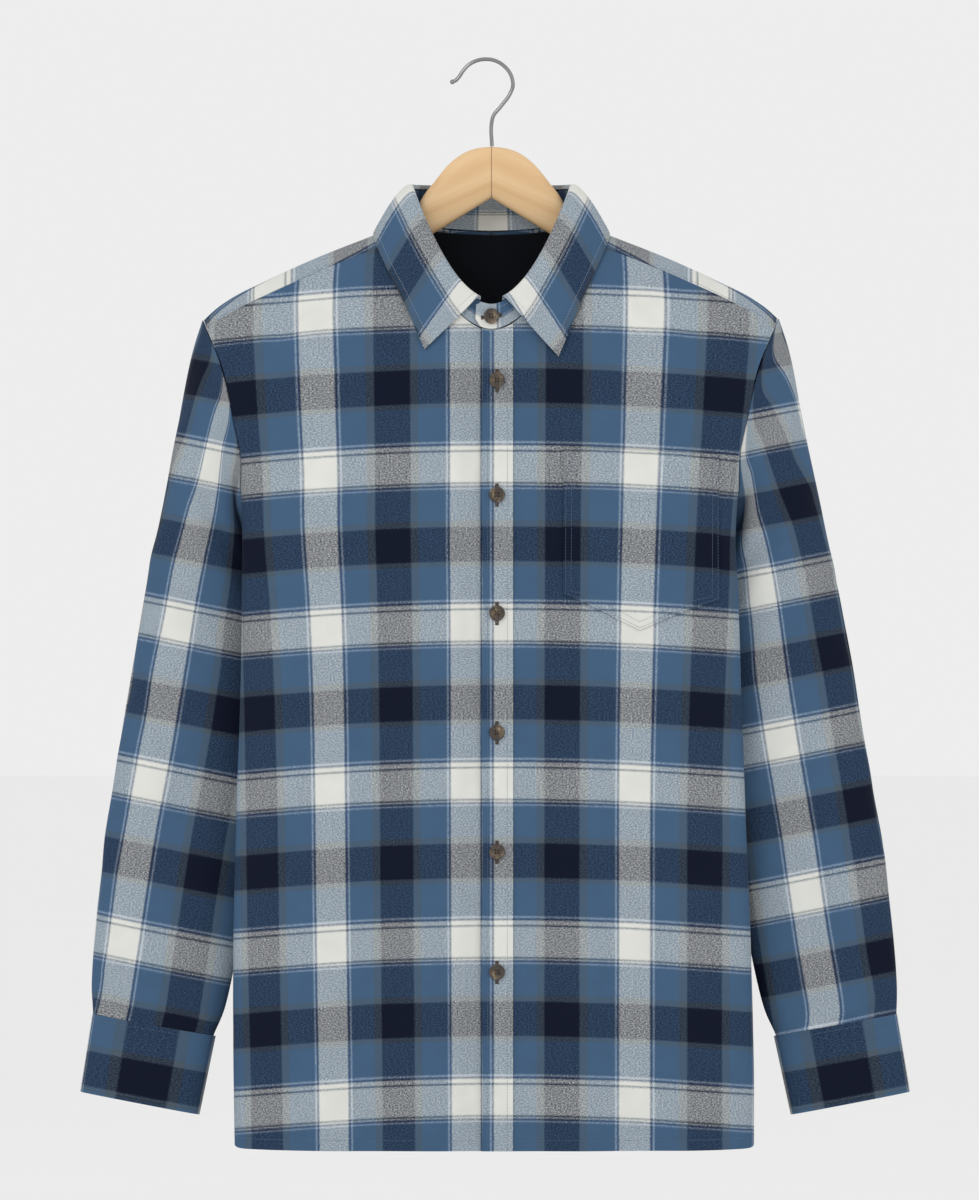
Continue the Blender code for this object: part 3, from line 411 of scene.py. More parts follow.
def chain(*edges):
    """Edges joined end to end, each shared point once."""
    return np.concatenate([edges[0]] + [edge[1:] for edge in edges[1:]])


def on_form(form, places):
    """Points and outward normals of a form at a grid of places."""
    a, b = places[..., 0], places[..., 1]
    step_a, step_b = (1e-4, 1e-2) if form is torso else (1e-2, 1e-2)
    da = form(a + step_a, b) - form(a - step_a, b)
    db = form(a, b + step_b) - form(a, b - step_b)
    points = form(a, b)
    normals = unit(np.cross(da, db))
    if np.sum(normals * (points - points.reshape(-1, 3).mean(axis=0) * (1, 0, 1))) < 0:
        normals = -normals
    return points, normals


def neck_corner():
    """Where the front yoke seam meets the neck: its x, on the wearer's left."""
    x = np.linspace(40, NECK_WIDTH / 2, 400)
    return x[np.argmin(np.abs(drop_at(x, neck_front_z(x)) - YOKE_FRONT_DROP))]


def side_places(side, top_z, back):
    """Up the side seam from the hem, then round the armhole to top_z."""
    lean = side * math.pi / 2
    z = np.linspace(hem_z(lean), UNDERARM_Z, 60)
    seam = even(torso, np.stack([np.full_like(z, lean), z], axis=1), SIDE_CELLS)
    arm = even(torso, armhole_edge(top_z, side, 120, back)[::-1], ARM_CELLS)
    return chain(seam, arm)


def front_seam_places(side):
    """The front yoke seam from the neck out to the armhole, as x and drop."""
    x = np.linspace(side * neck_corner(), armhole_x(-YOKE_FRONT_DROP, side), 80)
    return even(shoulder, np.stack([x, np.full_like(x, -YOKE_FRONT_DROP)], axis=1), SEAM_CELLS)


def to_ring(places, back=False):
    """Places given as x and drop, turned into ring angles and heights."""
    z = crest_height(places[:, 0], places[:, 1])
    return np.stack([ring_angle(places[:, 0], z, back), z], axis=1)


def front_places(side, centre):
    """Grid of ring angles and heights over one front: centre to side, hem to shoulder."""
    seam = to_ring(front_seam_places(side))
    neck_x = np.linspace(centre, side * neck_corner(), 80)
    neck = np.stack([ring_angle(neck_x, neck_front_z(neck_x)), neck_front_z(neck_x)], axis=1)
    high = chain(even(torso, neck, NECK_CELLS), seam)
    outer = side_places(side, high[-1, 1], back=False)
    angle = np.linspace(ring_angle(centre, HEM_Z), side * math.pi / 2, 300)
    low = even(torso, np.stack([angle, hem_z(angle)], axis=1), NECK_CELLS + SEAM_CELLS)
    z = np.linspace(low[0, 1], high[0, 1], 80)
    inner = even(torso, np.stack([ring_angle(np.full_like(z, centre), z), z], axis=1), SIDE_CELLS + ARM_CELLS)
    outer[-1] = high[-1]
    return cloth_patch(inner, outer, low, high)


def back_seam_places():
    """The back yoke seam from the wearer's right armhole to the left, as x and drop."""
    ends = [armhole_x(drop_at(side * 230.0, YOKE_BACK_Z), side) for side in (-1, 1)]
    x = np.linspace(ends[0], ends[1], 200)
    return even(shoulder, np.stack([x, drop_at(x, YOKE_BACK_Z)], axis=1), 2 * SEAM_CELLS + 2 * NECK_CELLS)


def neck_back_places(cells):
    """Round the back of the neck between the two front yoke seams, as x and drop."""
    corner, side = neck_corner(), NECK_WIDTH / 2
    x = np.linspace(corner, side, 20)
    front = np.stack([x, -drop_at(x, neck_front_z(x))], axis=1)
    turn = np.linspace(math.pi / 2, -math.pi / 2, 160)
    x = side * np.sin(turn)
    back = np.stack([x, drop_at(x, neck_back_z(x))], axis=1)
    mirrored = front[::-1] * (-1, 1)
    return even(shoulder, chain(front, back, mirrored)[::-1], cells)


def yoke_drops(back_drop):
    front = -YOKE_FRONT_DROP * (1 - np.array(YOKE_DROPS))
    return np.concatenate([front, back_drop * np.array(YOKE_BACK_SHARES)])


def yoke_places(low, high):
    """Grid of x and drop from the front seams and the neck to the back seam, with one row along the crest.

    Columns that start in front of the crest have four rows up to it and four beyond. The rows of those behind the
    neck start close together beside the shoulder and are even by the middle.
    """
    front, back = low[:, 1:], high[:, 1:]
    over = np.concatenate([front * (1 - np.array(YOKE_DROPS)), back * np.array(YOKE_BACK_SHARES)], axis=1)
    inward = np.clip((NECK_CELLS - 1 - np.abs(np.arange(len(low)) - len(low) // 2)) / (NECK_CELLS - 2), 0, 1)[:, None]
    close = np.concatenate([np.linspace(0, 0.06, len(YOKE_DROPS)), 0.06 + 0.94 * np.array(YOKE_BACK_SHARES)])
    shares = close + (np.linspace(0, 1, over.shape[1]) - close) * inward
    straight = front + (back - front) * shares
    drops = np.where(front < -0.01, over, straight)
    share = (drops - front) / (back - front)
    x = low[:, :1] + (high[:, :1] - low[:, :1]) * share
    for side, ends in ((-1, range(3)), (1, range(-1, -4, -1))):
        away = armhole_x(drops[ends[0]], side) - x[ends[0]]
        for step, end in enumerate(ends):
            x[end] += away * (1 - step / 3)
    return np.stack([x, drops], axis=-1)


def flat_places(x, z):
    """Grid of ring angles over front places given by x and height."""
    return np.stack([ring_angle(x, z), z], axis=-1)


def armhole_loop(side):
    """The armhole's vertices on the body, from the front yoke seam down, round the underarm and back over the top."""
    front = torso(*side_places(side, crest_height(armhole_x(-YOKE_FRONT_DROP, side), -YOKE_FRONT_DROP), False).T)
    back = torso(*side_places(side, YOKE_BACK_Z, True).T)
    end = back_seam_places()[0 if side < 0 else -1]
    drops = yoke_drops(end[1])
    top = shoulder(armhole_x(drops, side), drops)
    loop = np.concatenate([front[::-1][:ARM_CELLS], back[SIDE_CELLS:][:-1], top[::-1][:-1]])
    return loop, int(np.argmin(np.linalg.norm(loop - shoulder(armhole_x(0.0, side), 0.0), axis=1)))


def loop_turns(loop, crest):
    """How far round each of the loop's vertices lies: 0 at the crest, half a turn at the underarm."""
    under = ARM_CELLS
    order = np.roll(np.arange(len(loop)), -crest)
    steps = np.linalg.norm(np.diff(loop[np.append(order, order[0])], axis=0), axis=1)
    along = np.concatenate([[0.0], np.cumsum(steps)])
    half = int(np.where(order == under)[0][0])
    turns = np.where(
        np.arange(len(loop)) <= half,
        0.5 * along[:-1] / along[half],
        0.5 + 0.5 * (along[:-1] - along[half]) / (along[-1] - along[half]),
    )
    out = np.empty(len(loop))
    out[order] = turns
    return out * 2 * math.pi


def sleeve_rings(side, turns, shares):
    """Tube through the sleeve table: each ring an oval between its outer and inner points, fuller in the middle."""
    knots = np.linspace(0, 1, len(SLEEVE))
    value = {name: smooth(shares, knots, column(SLEEVE, SLEEVE_COLUMNS, name)) for name in SLEEVE_COLUMNS}
    swing = np.where(side > 0, value["swing"], 0.0)
    return oval(side, value["outer_x"] + swing, value["outer_z"], value["inner_x"] + swing, value["inner_z"],
                value["depth"], turns, pinch=value["pinch"])


def oval(side, outer_x, outer_z, inner_x, inner_z, depth, turns, roundness=2.4, pinch=0.0):
    """Points of superellipses: 0 turns is the outer point, a quarter turn the front, half a turn the inner point.

    The pinch thins the inner half.
    """
    c, s = np.cos(turns), np.sin(turns)
    radius = (np.abs(c) ** roundness + np.abs(s) ** roundness) ** (-1 / roundness)
    c, s = (c * radius)[:, None], (s * radius)[:, None]
    x = (outer_x + inner_x) / 2 + c * (outer_x - inner_x) / 2
    z = (outer_z + inner_z) / 2 + c * (outer_z - inner_z) / 2
    return np.stack([side * x, -s * depth * (1 - pinch * (1 - c) / 2), z], axis=-1)


def stand_edge(turn, top):
    """Points of the stand's lower edge, on the neck seam, or of its top edge; turn is 0 at the back and 1 in front."""
    s, c = np.sin(math.pi * turn), np.cos(math.pi * turn)
    front = c < 0
    if not top:
        x = NECK_WIDTH / 2 * s
        z = np.where(front, neck_front_z(x), neck_back_z(x))
        drop = drop_at(x, z)
        return shoulder(x, np.where(front, -drop, drop))
    x = STAND_TOP_WIDTH / 2 * s
    fall = np.where(front, 1 - np.abs(s) ** 1.9, 0.0)
    z = STAND_TOP_BACK_Z + (STAND_TOP_FRONT_Z - STAND_TOP_BACK_Z) * fall
    y = np.where(front, 56.5, 37.0) * c
    return np.stack([x, y, z], axis=-1)


def stand_points(turn, height):
    """Grid of the stand: straight from its lower edge to its top, the buttoned end a layer out from the other."""
    low, high = stand_edge(turn, False), stand_edge(turn, True)
    low = low + unit(high - low) * (CLOTH / 2 + 1.5 * SEAM_GAP)
    points = low[:, None] + (high - low)[:, None] * height[None, :, None]
    shift = 1.5 * LAYER * (ease((turn - 0.86) / 0.08) - 0.6 * ease((-turn - 0.9) / 0.06))
    points[..., 1] -= shift[:, None]
    return points


def hanger_top(x, hump):
    """The arms' top follows the crest of the shoulders just under the cloth; the middle rises in the hump."""
    return np.where(np.abs(x) > 79, np.minimum(crest_z(x) - CLOTH / 2 - HANGER_CLEAR, hump + 1.5), hump)


# ----------------------------------------------------------------------
# Drawing with more points

ROOT = "root"
WARP_REPEAT = 116.0  # mm across one repeat of the check
WEFT_REPEAT = 130.2  # mm down one repeat
CHECK_MAP = "check"  # the UV map that counts repeats of the check


# ----------------------------------------------------------------------
# Finishes


class Sketch:
    """Short hand for laying out a node tree."""

    def __init__(self, tree):
        self.tree = tree

    def add(self, kind, values=None, **settings):
        node = self.tree.nodes.new(kind)
        for key, value in settings.items():
            setattr(node, key, value)
        for key, value in (values or {}).items():
            if hasattr(value, "is_output"):
                self.tree.links.new(value, node.inputs[key])
            else:
                node.inputs[key].default_value = value
        return node

    def maths(self, operation, *values, clamp=False):
        node = self.add("ShaderNodeMath", operation=operation, use_clamp=clamp)
        for slot, value in zip(node.inputs, values):
            if hasattr(value, "is_output"):
                self.tree.links.new(value, slot)
            else:
                slot.default_value = value
        return node.outputs[0]

    def mix(self, share, first, second, blend="MIX"):
        node = self.add("ShaderNodeMix", data_type="RGBA", blend_type=blend)
        for slot, value in ((0, share), (6, first), (7, second)):
            if hasattr(value, "is_output"):
                self.tree.links.new(value, node.inputs[slot])
            else:
                node.inputs[slot].default_value = value if slot == 0 else (*value[:3], 1.0)
        return node.outputs[2]

    def noise(self, place, scale, detail=2.0, rough=0.5, stretch=None):
        if stretch:
            place = self.add("ShaderNodeMapping", {"Vector": place, "Scale": stretch}).outputs[0]
        sockets = {"Vector": place, "Scale": scale, "Detail": detail, "Roughness": rough}
        return self.add("ShaderNodeTexNoise", sockets).outputs[0]

    def ramp(self, value, stops, interpolation="LINEAR"):
        node = self.add("ShaderNodeValToRGB", {"Fac": value})
        ramp = node.color_ramp
        ramp.interpolation = interpolation
        while len(ramp.elements) < len(stops):
            ramp.elements.new(1.0)
        for element, (at, colour) in zip(ramp.elements, stops):
            element.position = at
            element.color = (*colour[:3], 1.0)
        return node.outputs[0]


def group(name, inputs, outputs):
    tree = bpy.data.node_groups.new(name, "ShaderNodeTree")
    for label, kind, value in inputs:
        slot = tree.interface.new_socket(label, in_out="INPUT", socket_type=kind)
        if value is not None:
            slot.default_value = value
    for label, kind in outputs:
        tree.interface.new_socket(label, in_out="OUTPUT", socket_type=kind)
    sketch = Sketch(tree)
    return tree, sketch, sketch.add("NodeGroupInput").outputs, sketch.add("NodeGroupOutput").inputs


def surface(name, roughness=0.8, **sockets):
    material = bpy.data.materials.new(name)
    material.use_nodes = True
    material.node_tree.nodes.clear()
    sketch = Sketch(material.node_tree)
    shader = sketch.add("ShaderNodeBsdfPrincipled", {"Roughness": roughness, **sockets})
    out = sketch.add("ShaderNodeOutputMaterial")
    material.node_tree.links.new(shader.outputs[0], out.inputs[0])
    return material, sketch, shader


def use(sketch, tree, values):
    node = sketch.add("ShaderNodeGroup")
    node.node_tree = tree
    for key, value in values.items():
        if hasattr(value, "is_output"):
            sketch.tree.links.new(value, node.inputs[key])
        else:
            node.inputs[key].default_value = value
    return node.outputs


# Yarns, each as the square root of its colour, because two laid side by side look darker than their mean
CREAM = (0.852, 0.855, 0.828)
DENIM = (0.238, 0.338, 0.450)
NAVY = (0.062, 0.082, 0.140)
INK = (0.185, 0.255, 0.370)
STONE = (0.270, 0.315, 0.355)
PALE = (0.640, 0.705, 0.780)

# Stripes over one repeat, from the middle of a dark one: where each starts and its yarn
WARP_STRIPES = (
    (0.000, NAVY), (0.124, STONE), (0.177, DENIM), (0.372, PALE), (0.384, INK), (0.402, CREAM), (0.618, INK),
    (0.638, PALE), (0.650, DENIM), (0.823, STONE), (0.876, NAVY),
)
WEFT_STRIPES = (
    (0.000, NAVY), (0.108, STONE), (0.140, DENIM), (0.350, PALE), (0.360, INK), (0.378, CREAM), (0.404, STONE),
    (0.416, CREAM), (0.606, STONE), (0.618, CREAM), (0.626, INK), (0.642, PALE), (0.652, DENIM), (0.850, STONE),
    (0.890, NAVY),
)


def check_group():
    """Brushed twill check: the warp's and the weft's stripes, laid over each other in diagonal lines and heathered.

    The place is counted in repeats. Out come the colour and a height for the yarns and the nap.
    """
    tree, s, given, out = group(
        "flannel check",
        (("Place", "NodeSocketVector", None), ("Heather", "NodeSocketFloat", 1.0)),
        (("Color", "NodeSocketColor"), ("Height", "NodeSocketFloat"), ("Roughness", "NodeSocketFloat")),
    )
    repeat = (WARP_REPEAT, WEFT_REPEAT, 1.0)
    mm = s.add("ShaderNodeVectorMath", {0: given["Place"], 1: repeat}, operation="MULTIPLY").outputs[0]
    fuzz = s.noise(mm, 2.1, 2.0, 0.6)
    slow = s.noise(mm, 0.045, 2.0)
    axes = s.add("ShaderNodeSeparateXYZ", {0: given["Place"]}).outputs
    wobble = s.maths("MULTIPLY", s.maths("SUBTRACT", fuzz, 0.5), 0.045)
    warp_at = s.maths("FRACT", s.maths("ADD", axes[0], wobble))
    weft_at = s.maths("FRACT", s.maths("ADD", axes[1], wobble))
    warp = s.ramp(warp_at, WARP_STRIPES, "CONSTANT")
    weft = s.ramp(weft_at, WEFT_STRIPES, "CONSTANT")
    # diagonal lines of the twill, one each 0.9 mm, and the yarns across them
    lengths = s.add("ShaderNodeSeparateXYZ", {0: mm}).outputs
    diagonal = s.maths("ADD", lengths[0], lengths[1])
    twill = s.maths("SINE", s.maths("MULTIPLY", diagonal, 2 * math.pi / 1.0))
    mottle = s.noise(mm, 1.25, 4.0, 0.7, (0.55, 1.1, 1.0))
    mottle = s.maths("MULTIPLY", s.maths("SUBTRACT", mottle, 0.5), s.maths("MULTIPLY", given["Heather"], 2.7))
    share = s.maths("ADD", s.maths("MULTIPLY", twill, 0.10), s.maths("ADD", mottle, 0.50), clamp=True)
    root = s.mix(share, warp, weft)
    woven = s.mix(1.0, root, root, "MULTIPLY")
    # nap lifts the darks a little and greys the lights
    nap = s.noise(mm, 2.4, 3.0, 0.65, (0.7, 1.3, 1.0))
    haze = s.maths("MULTIPLY", s.maths("SUBTRACT", nap, 0.32, clamp=True), 0.018)
    napped = s.mix(haze, woven, (0.42, 0.44, 0.47))
    faded = s.maths("ADD", s.maths("MULTIPLY", s.maths("SUBTRACT", slow, 0.5), 0.16), 1.0)
    tone = s.add("ShaderNodeCombineColor", {0: faded, 1: faded, 2: faded}).outputs[0]
    s.tree.links.new(s.mix(1.0, napped, tone, "MULTIPLY"), out["Color"])
    height = s.maths("ADD", s.maths("MULTIPLY", twill, 0.25), s.maths("ADD", nap, s.maths("MULTIPLY", fuzz, 0.6)))
    s.tree.links.new(height, out["Height"])
    s.tree.links.new(s.maths("ADD", s.maths("MULTIPLY", nap, 0.2), 0.74, clamp=True), out["Roughness"])
    return tree


def woven_group():
    """Plain weave for one colour of cloth or thread: crossing yarns as the product of two sine waves, with nap."""
    tree, s, given, out = group(
        "plain weave",
        (("Place", "NodeSocketVector", None), ("Light", "NodeSocketColor", (0.5, 0.5, 0.5, 1)),
         ("Dark", "NodeSocketColor", (0.2, 0.2, 0.2, 1)), ("Threads per mm", "NodeSocketFloat", 1.6)),
        (("Color", "NodeSocketColor"), ("Height", "NodeSocketFloat")),
    )
    repeat = (WARP_REPEAT, WARP_REPEAT, 1.0)
    mm = s.add("ShaderNodeVectorMath", {0: given["Place"], 1: repeat}, operation="MULTIPLY").outputs[0]
    axes = s.add("ShaderNodeSeparateXYZ", {0: mm}).outputs
    turn = s.maths("MULTIPLY", given["Threads per mm"], 2 * math.pi)
    across = s.maths("SINE", s.maths("MULTIPLY", axes[0], turn))
    along = s.maths("SINE", s.maths("MULTIPLY", axes[1], turn))
    yarn = s.maths("MULTIPLY", across, along)
    nap = s.noise(mm, 1.9, 3.0, 0.6)
    share = s.maths("ADD", s.maths("MULTIPLY", yarn, 0.3), nap, clamp=True)
    s.tree.links.new(s.mix(share, given["Dark"], given["Light"]), out["Color"])
    s.tree.links.new(s.maths("ADD", yarn, nap), out["Height"])
    return tree


def thread_finish(name, light, dark):
    """Twisted sewing thread: fine slanting ply lines over the bead, and a slow change of tone along the row."""
    material, s, shader = surface(name, 0.62, **{"Sheen Weight": 0.15})
    place = s.add("ShaderNodeTexCoord").outputs["Object"]
    ply = s.add("ShaderNodeTexWave", {"Vector": place, "Scale": 950.0, "Distortion": 1.2, "Detail": 1.0},
                bands_direction="DIAGONAL").outputs[1]
    tone = s.noise(place, 260.0, 2.0)
    s.tree.links.new(s.mix(s.maths("ADD", s.maths("MULTIPLY", ply, 0.5), s.maths("MULTIPLY", tone, 0.5)), dark, light),
                     shader.inputs["Base Color"])
    bump = s.add("ShaderNodeBump", {"Height": ply, "Strength": 0.4, "Distance": 0.0001})
    s.tree.links.new(bump.outputs[0], shader.inputs["Normal"])
    return material


def flannel_finish(tree):
    material, s, shader = surface("brushed flannel check", 0.85, **{
        "Sheen Weight": 0.03, "Sheen Roughness": 0.45, "Sheen Tint": (0.86, 0.90, 1.0, 1.0), "Specular IOR Level": 0.08})
    place = s.add("ShaderNodeUVMap", uv_map=CHECK_MAP).outputs[0]
    made = use(s, tree, {"Place": place, "Heather": 1.0})
    s.tree.links.new(made["Color"], shader.inputs["Base Color"])
    s.tree.links.new(made["Roughness"], shader.inputs["Roughness"])
    bump = s.add("ShaderNodeBump", {"Height": made["Height"], "Strength": 0.35, "Distance": 0.00035})
    s.tree.links.new(bump.outputs[0], shader.inputs["Normal"])
    return material


def lining_finish(tree):
    material, s, shader = surface("plain navy lining", 0.8, **{"Sheen Weight": 0.05, "Specular IOR Level": 0.2})
    place = s.add("ShaderNodeUVMap", uv_map=CHECK_MAP).outputs[0]
    made = use(s, tree, {"Place": place, "Light": (0.008, 0.010, 0.016, 1), "Dark": (0.0015, 0.002, 0.004, 1)})
    s.tree.links.new(made["Color"], shader.inputs["Base Color"])
    bump = s.add("ShaderNodeBump", {"Height": made["Height"], "Strength": 0.3, "Distance": 0.0002})
    s.tree.links.new(bump.outputs[0], shader.inputs["Normal"])
    return material


def horn_finish():
    """Mottled horn: smoky clouds and short streaks from near black to honey, with a satin polish and fine scratches."""
    material, s, shader = surface("mottled horn", 0.3, **{"Coat Weight": 0.35, "Coat Roughness": 0.18, "IOR": 1.5})
    place = s.add("ShaderNodeTexCoord").outputs["Object"]
    cloud = s.noise(place, 210.0, 4.0, 0.6, (1.0, 1.0, 0.55))
    streak = s.noise(place, 520.0, 3.0, 0.5, (2.2, 1.0, 0.5))
    mixed = s.maths("ADD", s.maths("MULTIPLY", cloud, 0.7), s.maths("MULTIPLY", streak, 0.3))
    tone = s.ramp(mixed, ((0.34, (0.012, 0.008, 0.005)), (0.50, (0.040, 0.026, 0.014)), (0.60, (0.13, 0.090, 0.048)),
                          (0.72, (0.36, 0.28, 0.17))))
    s.tree.links.new(tone, shader.inputs["Base Color"])
    worn = s.maths("ADD", s.maths("MULTIPLY", streak, 0.25), 0.18)
    s.tree.links.new(worn, shader.inputs["Roughness"])
    return material


def wood_finish():
    """Blond wood: rings about an axis that tilts each way from the middle, so the grain meets there in a V."""
    material, s, shader = surface("blond hanger wood", 0.42, **{"Coat Weight": 0.12, "Coat Roughness": 0.25})
    place = s.add("ShaderNodeTexCoord").outputs["Object"]
    axes = s.add("ShaderNodeSeparateXYZ", {0: place}).outputs
    out = s.maths("ABSOLUTE", axes[0])
    lean = s.maths("ADD", axes[2], s.maths("MULTIPLY", out, 0.45))
    turned = s.add("ShaderNodeCombineXYZ", {0: s.maths("MULTIPLY", out, 0.06), 1: axes[1], 2: lean}).outputs[0]
    figure = s.noise(turned, 18.0, 3.0)
    ring = s.maths("ADD", s.maths("MULTIPLY", lean, 310.0), s.maths("MULTIPLY", figure, 9.0))
    grain = s.maths("ADD", s.maths("MULTIPLY", s.maths("SINE", ring), 0.5), 0.5)
    fibre = s.noise(turned, 420.0, 3.0, 0.6, (0.25, 1.0, 1.0))
    share = s.maths("ADD", s.maths("MULTIPLY", grain, 0.38), s.maths("MULTIPLY", fibre, 0.62))
    tone = s.ramp(share, ((0.12, (0.66, 0.40, 0.19)), (0.5, (0.74, 0.49, 0.25)), (0.9, (0.81, 0.57, 0.32))))
    joint = s.maths("LESS_THAN", out, 0.00035)
    s.tree.links.new(s.mix(s.maths("MULTIPLY", joint, 0.75), tone, (0.20, 0.10, 0.04)), shader.inputs["Base Color"])
    s.tree.links.new(s.maths("ADD", s.maths("MULTIPLY", fibre, 0.22), 0.38), shader.inputs["Roughness"])
    bump = s.add("ShaderNodeBump", {"Height": share, "Strength": 0.12, "Distance": 0.0003})
    s.tree.links.new(bump.outputs[0], shader.inputs["Normal"])
    return material


def wire_finish():
    """Plated wire: bright, with hair lines drawn along it and faint cloudy tarnish."""
    material, s, shader = surface("plated wire", 0.2, **{"Metallic": 1.0})
    place = s.add("ShaderNodeTexCoord").outputs["Object"]
    lines = s.noise(place, 900.0, 3.0, 0.6, (1.0, 3.0, 0.15))
    cloud = s.noise(place, 60.0, 3.0)
    s.tree.links.new(s.mix(cloud, (0.20, 0.20, 0.20), (0.36, 0.36, 0.37)), shader.inputs["Base Color"])
    s.tree.links.new(s.maths("ADD", s.maths("MULTIPLY", lines, 0.18), 0.12), shader.inputs["Roughness"])
    return material


CHECK = check_group()
WEAVE = woven_group()
FLANNEL_CLOTH = flannel_finish(CHECK)
LINING_CLOTH = lining_finish(WEAVE)
HORN_RESIN = horn_finish()
BLOND_WOOD = wood_finish()
PLATED_WIRE = wire_finish()
THREAD_BLUE = thread_finish("slate blue thread", (0.16, 0.22, 0.33), (0.05, 0.075, 0.13))
THREAD_PALE = thread_finish("pale thread", (0.46, 0.47, 0.48), (0.22, 0.24, 0.28))
THREAD_BROWN = thread_finish("dark brown thread", (0.085, 0.055, 0.040), (0.025, 0.016, 0.012))


def spread(count, steps, around=False):
    """Weights that carry a row of `count` points to `steps` points for each of its cells.

    They are those of the cubic through four neighbours whose slope at a point is half the step between its own
    neighbours; past an open end the row goes on straight.
    """
    last = count if around else count - 1
    at = np.arange(last * steps + (0 if around else 1)) / steps
    first = np.minimum(at.astype(int), last - 1)
    t = at - first
    share = np.stack([-t + 2 * t**2 - t**3, 2 - 5 * t**2 + 3 * t**3, t + 4 * t**2 - 3 * t**3, t**3 - t**2]) / 2
    weights = np.zeros((len(at), count))
    rows = np.arange(len(at))
    for k in range(4):
        j = first + k - 1
        if around:
            np.add.at(weights, (rows, j % count), share[k])
            continue
        inside = (j >= 0) & (j < count)
        np.add.at(weights, (rows[inside], j[inside]), share[k][inside])
        for missed, near, far in ((j < 0, 0, 1), (j >= count, count - 1, count - 2)):
            np.add.at(weights, (rows[missed], near), 2 * share[k][missed])
            np.add.at(weights, (rows[missed], far), -share[k][missed])
    return weights


def finer(grid, across, along, around=False):
    return np.einsum("ai,bj,ijk->abk", spread(grid.shape[0], across, around), spread(grid.shape[1], along), grid)


def mitred(points, around=False):
    """Directions at each point: the mean of the normals of the cells round it, lengthened by the bend there."""
    rows = np.concatenate([points, points[:1]]) if around else points
    cell = unit(np.cross(rows[1:, 1:] - rows[:-1, :-1], rows[:-1, 1:] - rows[1:, :-1]))
    cell = np.concatenate([cell[-1:], cell]) if around else np.concatenate([cell[:1], cell, cell[-1:]])
    cell = np.concatenate([cell[:, :1], cell, cell[:, -1:]], axis=1)
    near = np.stack([cell[:-1, :-1], cell[1:, :-1], cell[:-1, 1:], cell[1:, 1:]])
    normals = unit(near.sum(axis=0))
    bend = np.einsum("kijc,ijc->kij", near, normals).mean(axis=0)
    return normals / np.clip(bend, 0.7, 1.0)[..., None]


def outward(points, normals, centre):
    return normals if np.sum(normals * (points - np.array(centre))) > 0 else -normals


def put(name, points, faces, finish, corners=None, smooth_angle=50):
    """Mesh object from millimetre points and faces; corners are each face corner's place in the check."""
    mesh = bpy.data.meshes.new(name)
    mesh.from_pydata((points * MM).tolist(), [], faces.tolist() if isinstance(faces, np.ndarray) else faces)
    if corners is not None:
        mesh.uv_layers.new(name=CHECK_MAP).data.foreach_set("uv", corners.reshape(-1).astype(np.float32))
    mesh.shade_smooth()
    mesh.set_sharp_from_angle(angle=math.radians(smooth_angle))
    mesh.materials.append(finish)
    obj = bpy.data.objects.new(name, mesh)
    bpy.context.scene.collection.objects.link(obj)
    return obj


def cloth(name, points, check, centre, finish, replaces=(), around=False, thick=CLOTH, lift=0.0, normals=None):
    """A cut piece as a closed wall: the grid moved out and in by half its thickness and joined round its edges.

    check gives the place in the check at each point of the grid, with one row more than the grid on a tube.
    """
    if normals is None:
        normals = mitred(points, around)
    normals = outward(points, normals, centre)
    nu, nv = points.shape[:2]
    layers = np.concatenate([points + normals * (lift + thick / 2), points + normals * (lift - thick / 2)])
    index = np.arange(nu * nv).reshape(nu, nv)
    rows = np.concatenate([index, index[:1]]) if around else index
    spot = np.arange(rows.size).reshape(rows.shape)
    uv = check.reshape(-1, 2)

    def quads(grid):
        return np.stack([grid[:-1, :-1], grid[1:, :-1], grid[1:, 1:], grid[:-1, 1:]], axis=-1).reshape(-1, 4)

    face, corner = quads(rows), quads(spot)
    p = points.reshape(-1, 3)
    cross = np.cross(p[face[:, 2]] - p[face[:, 0]], p[face[:, 3]] - p[face[:, 1]])
    if np.sum(cross * normals.reshape(-1, 3)[face[:, 0]]) < 0:
        face, corner, turned_in = face[:, ::-1], corner[:, ::-1], True
    else:
        turned_in = False
    faces, corners = [face, face[:, ::-1] + nu * nv], [corner, corner[:, ::-1]]
    rims = [(rows[:, 0], spot[:, 0]), (rows[:, -1][::-1], spot[:, -1][::-1])]
    if not around:
        rims += [(rows[0][::-1], spot[0][::-1]), (rows[-1], spot[-1])]
    for edge, place in rims:
        quad = np.stack([edge[1:], edge[:-1], edge[:-1] + nu * nv, edge[1:] + nu * nv], axis=-1)
        where = np.stack([place[1:], place[:-1], place[:-1], place[1:]], axis=-1)
        faces.append(quad[:, ::-1] if turned_in else quad)
        corners.append(where[:, ::-1] if turned_in else where)
    obj = put(name, layers.reshape(-1, 3), np.concatenate(faces), finish, uv[np.concatenate(corners)])
    return dressed(obj, replaces)


def dressed(obj, replaces=()):
    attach(obj, ROOT)
    if replaces:
        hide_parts(*([replaces] if isinstance(replaces, str) else replaces))
    return obj


# ----------------------------------------------------------------------
# Creases: each row is a ridge (or, below nought, a trough) along a straight line, with soft sides and soft ends

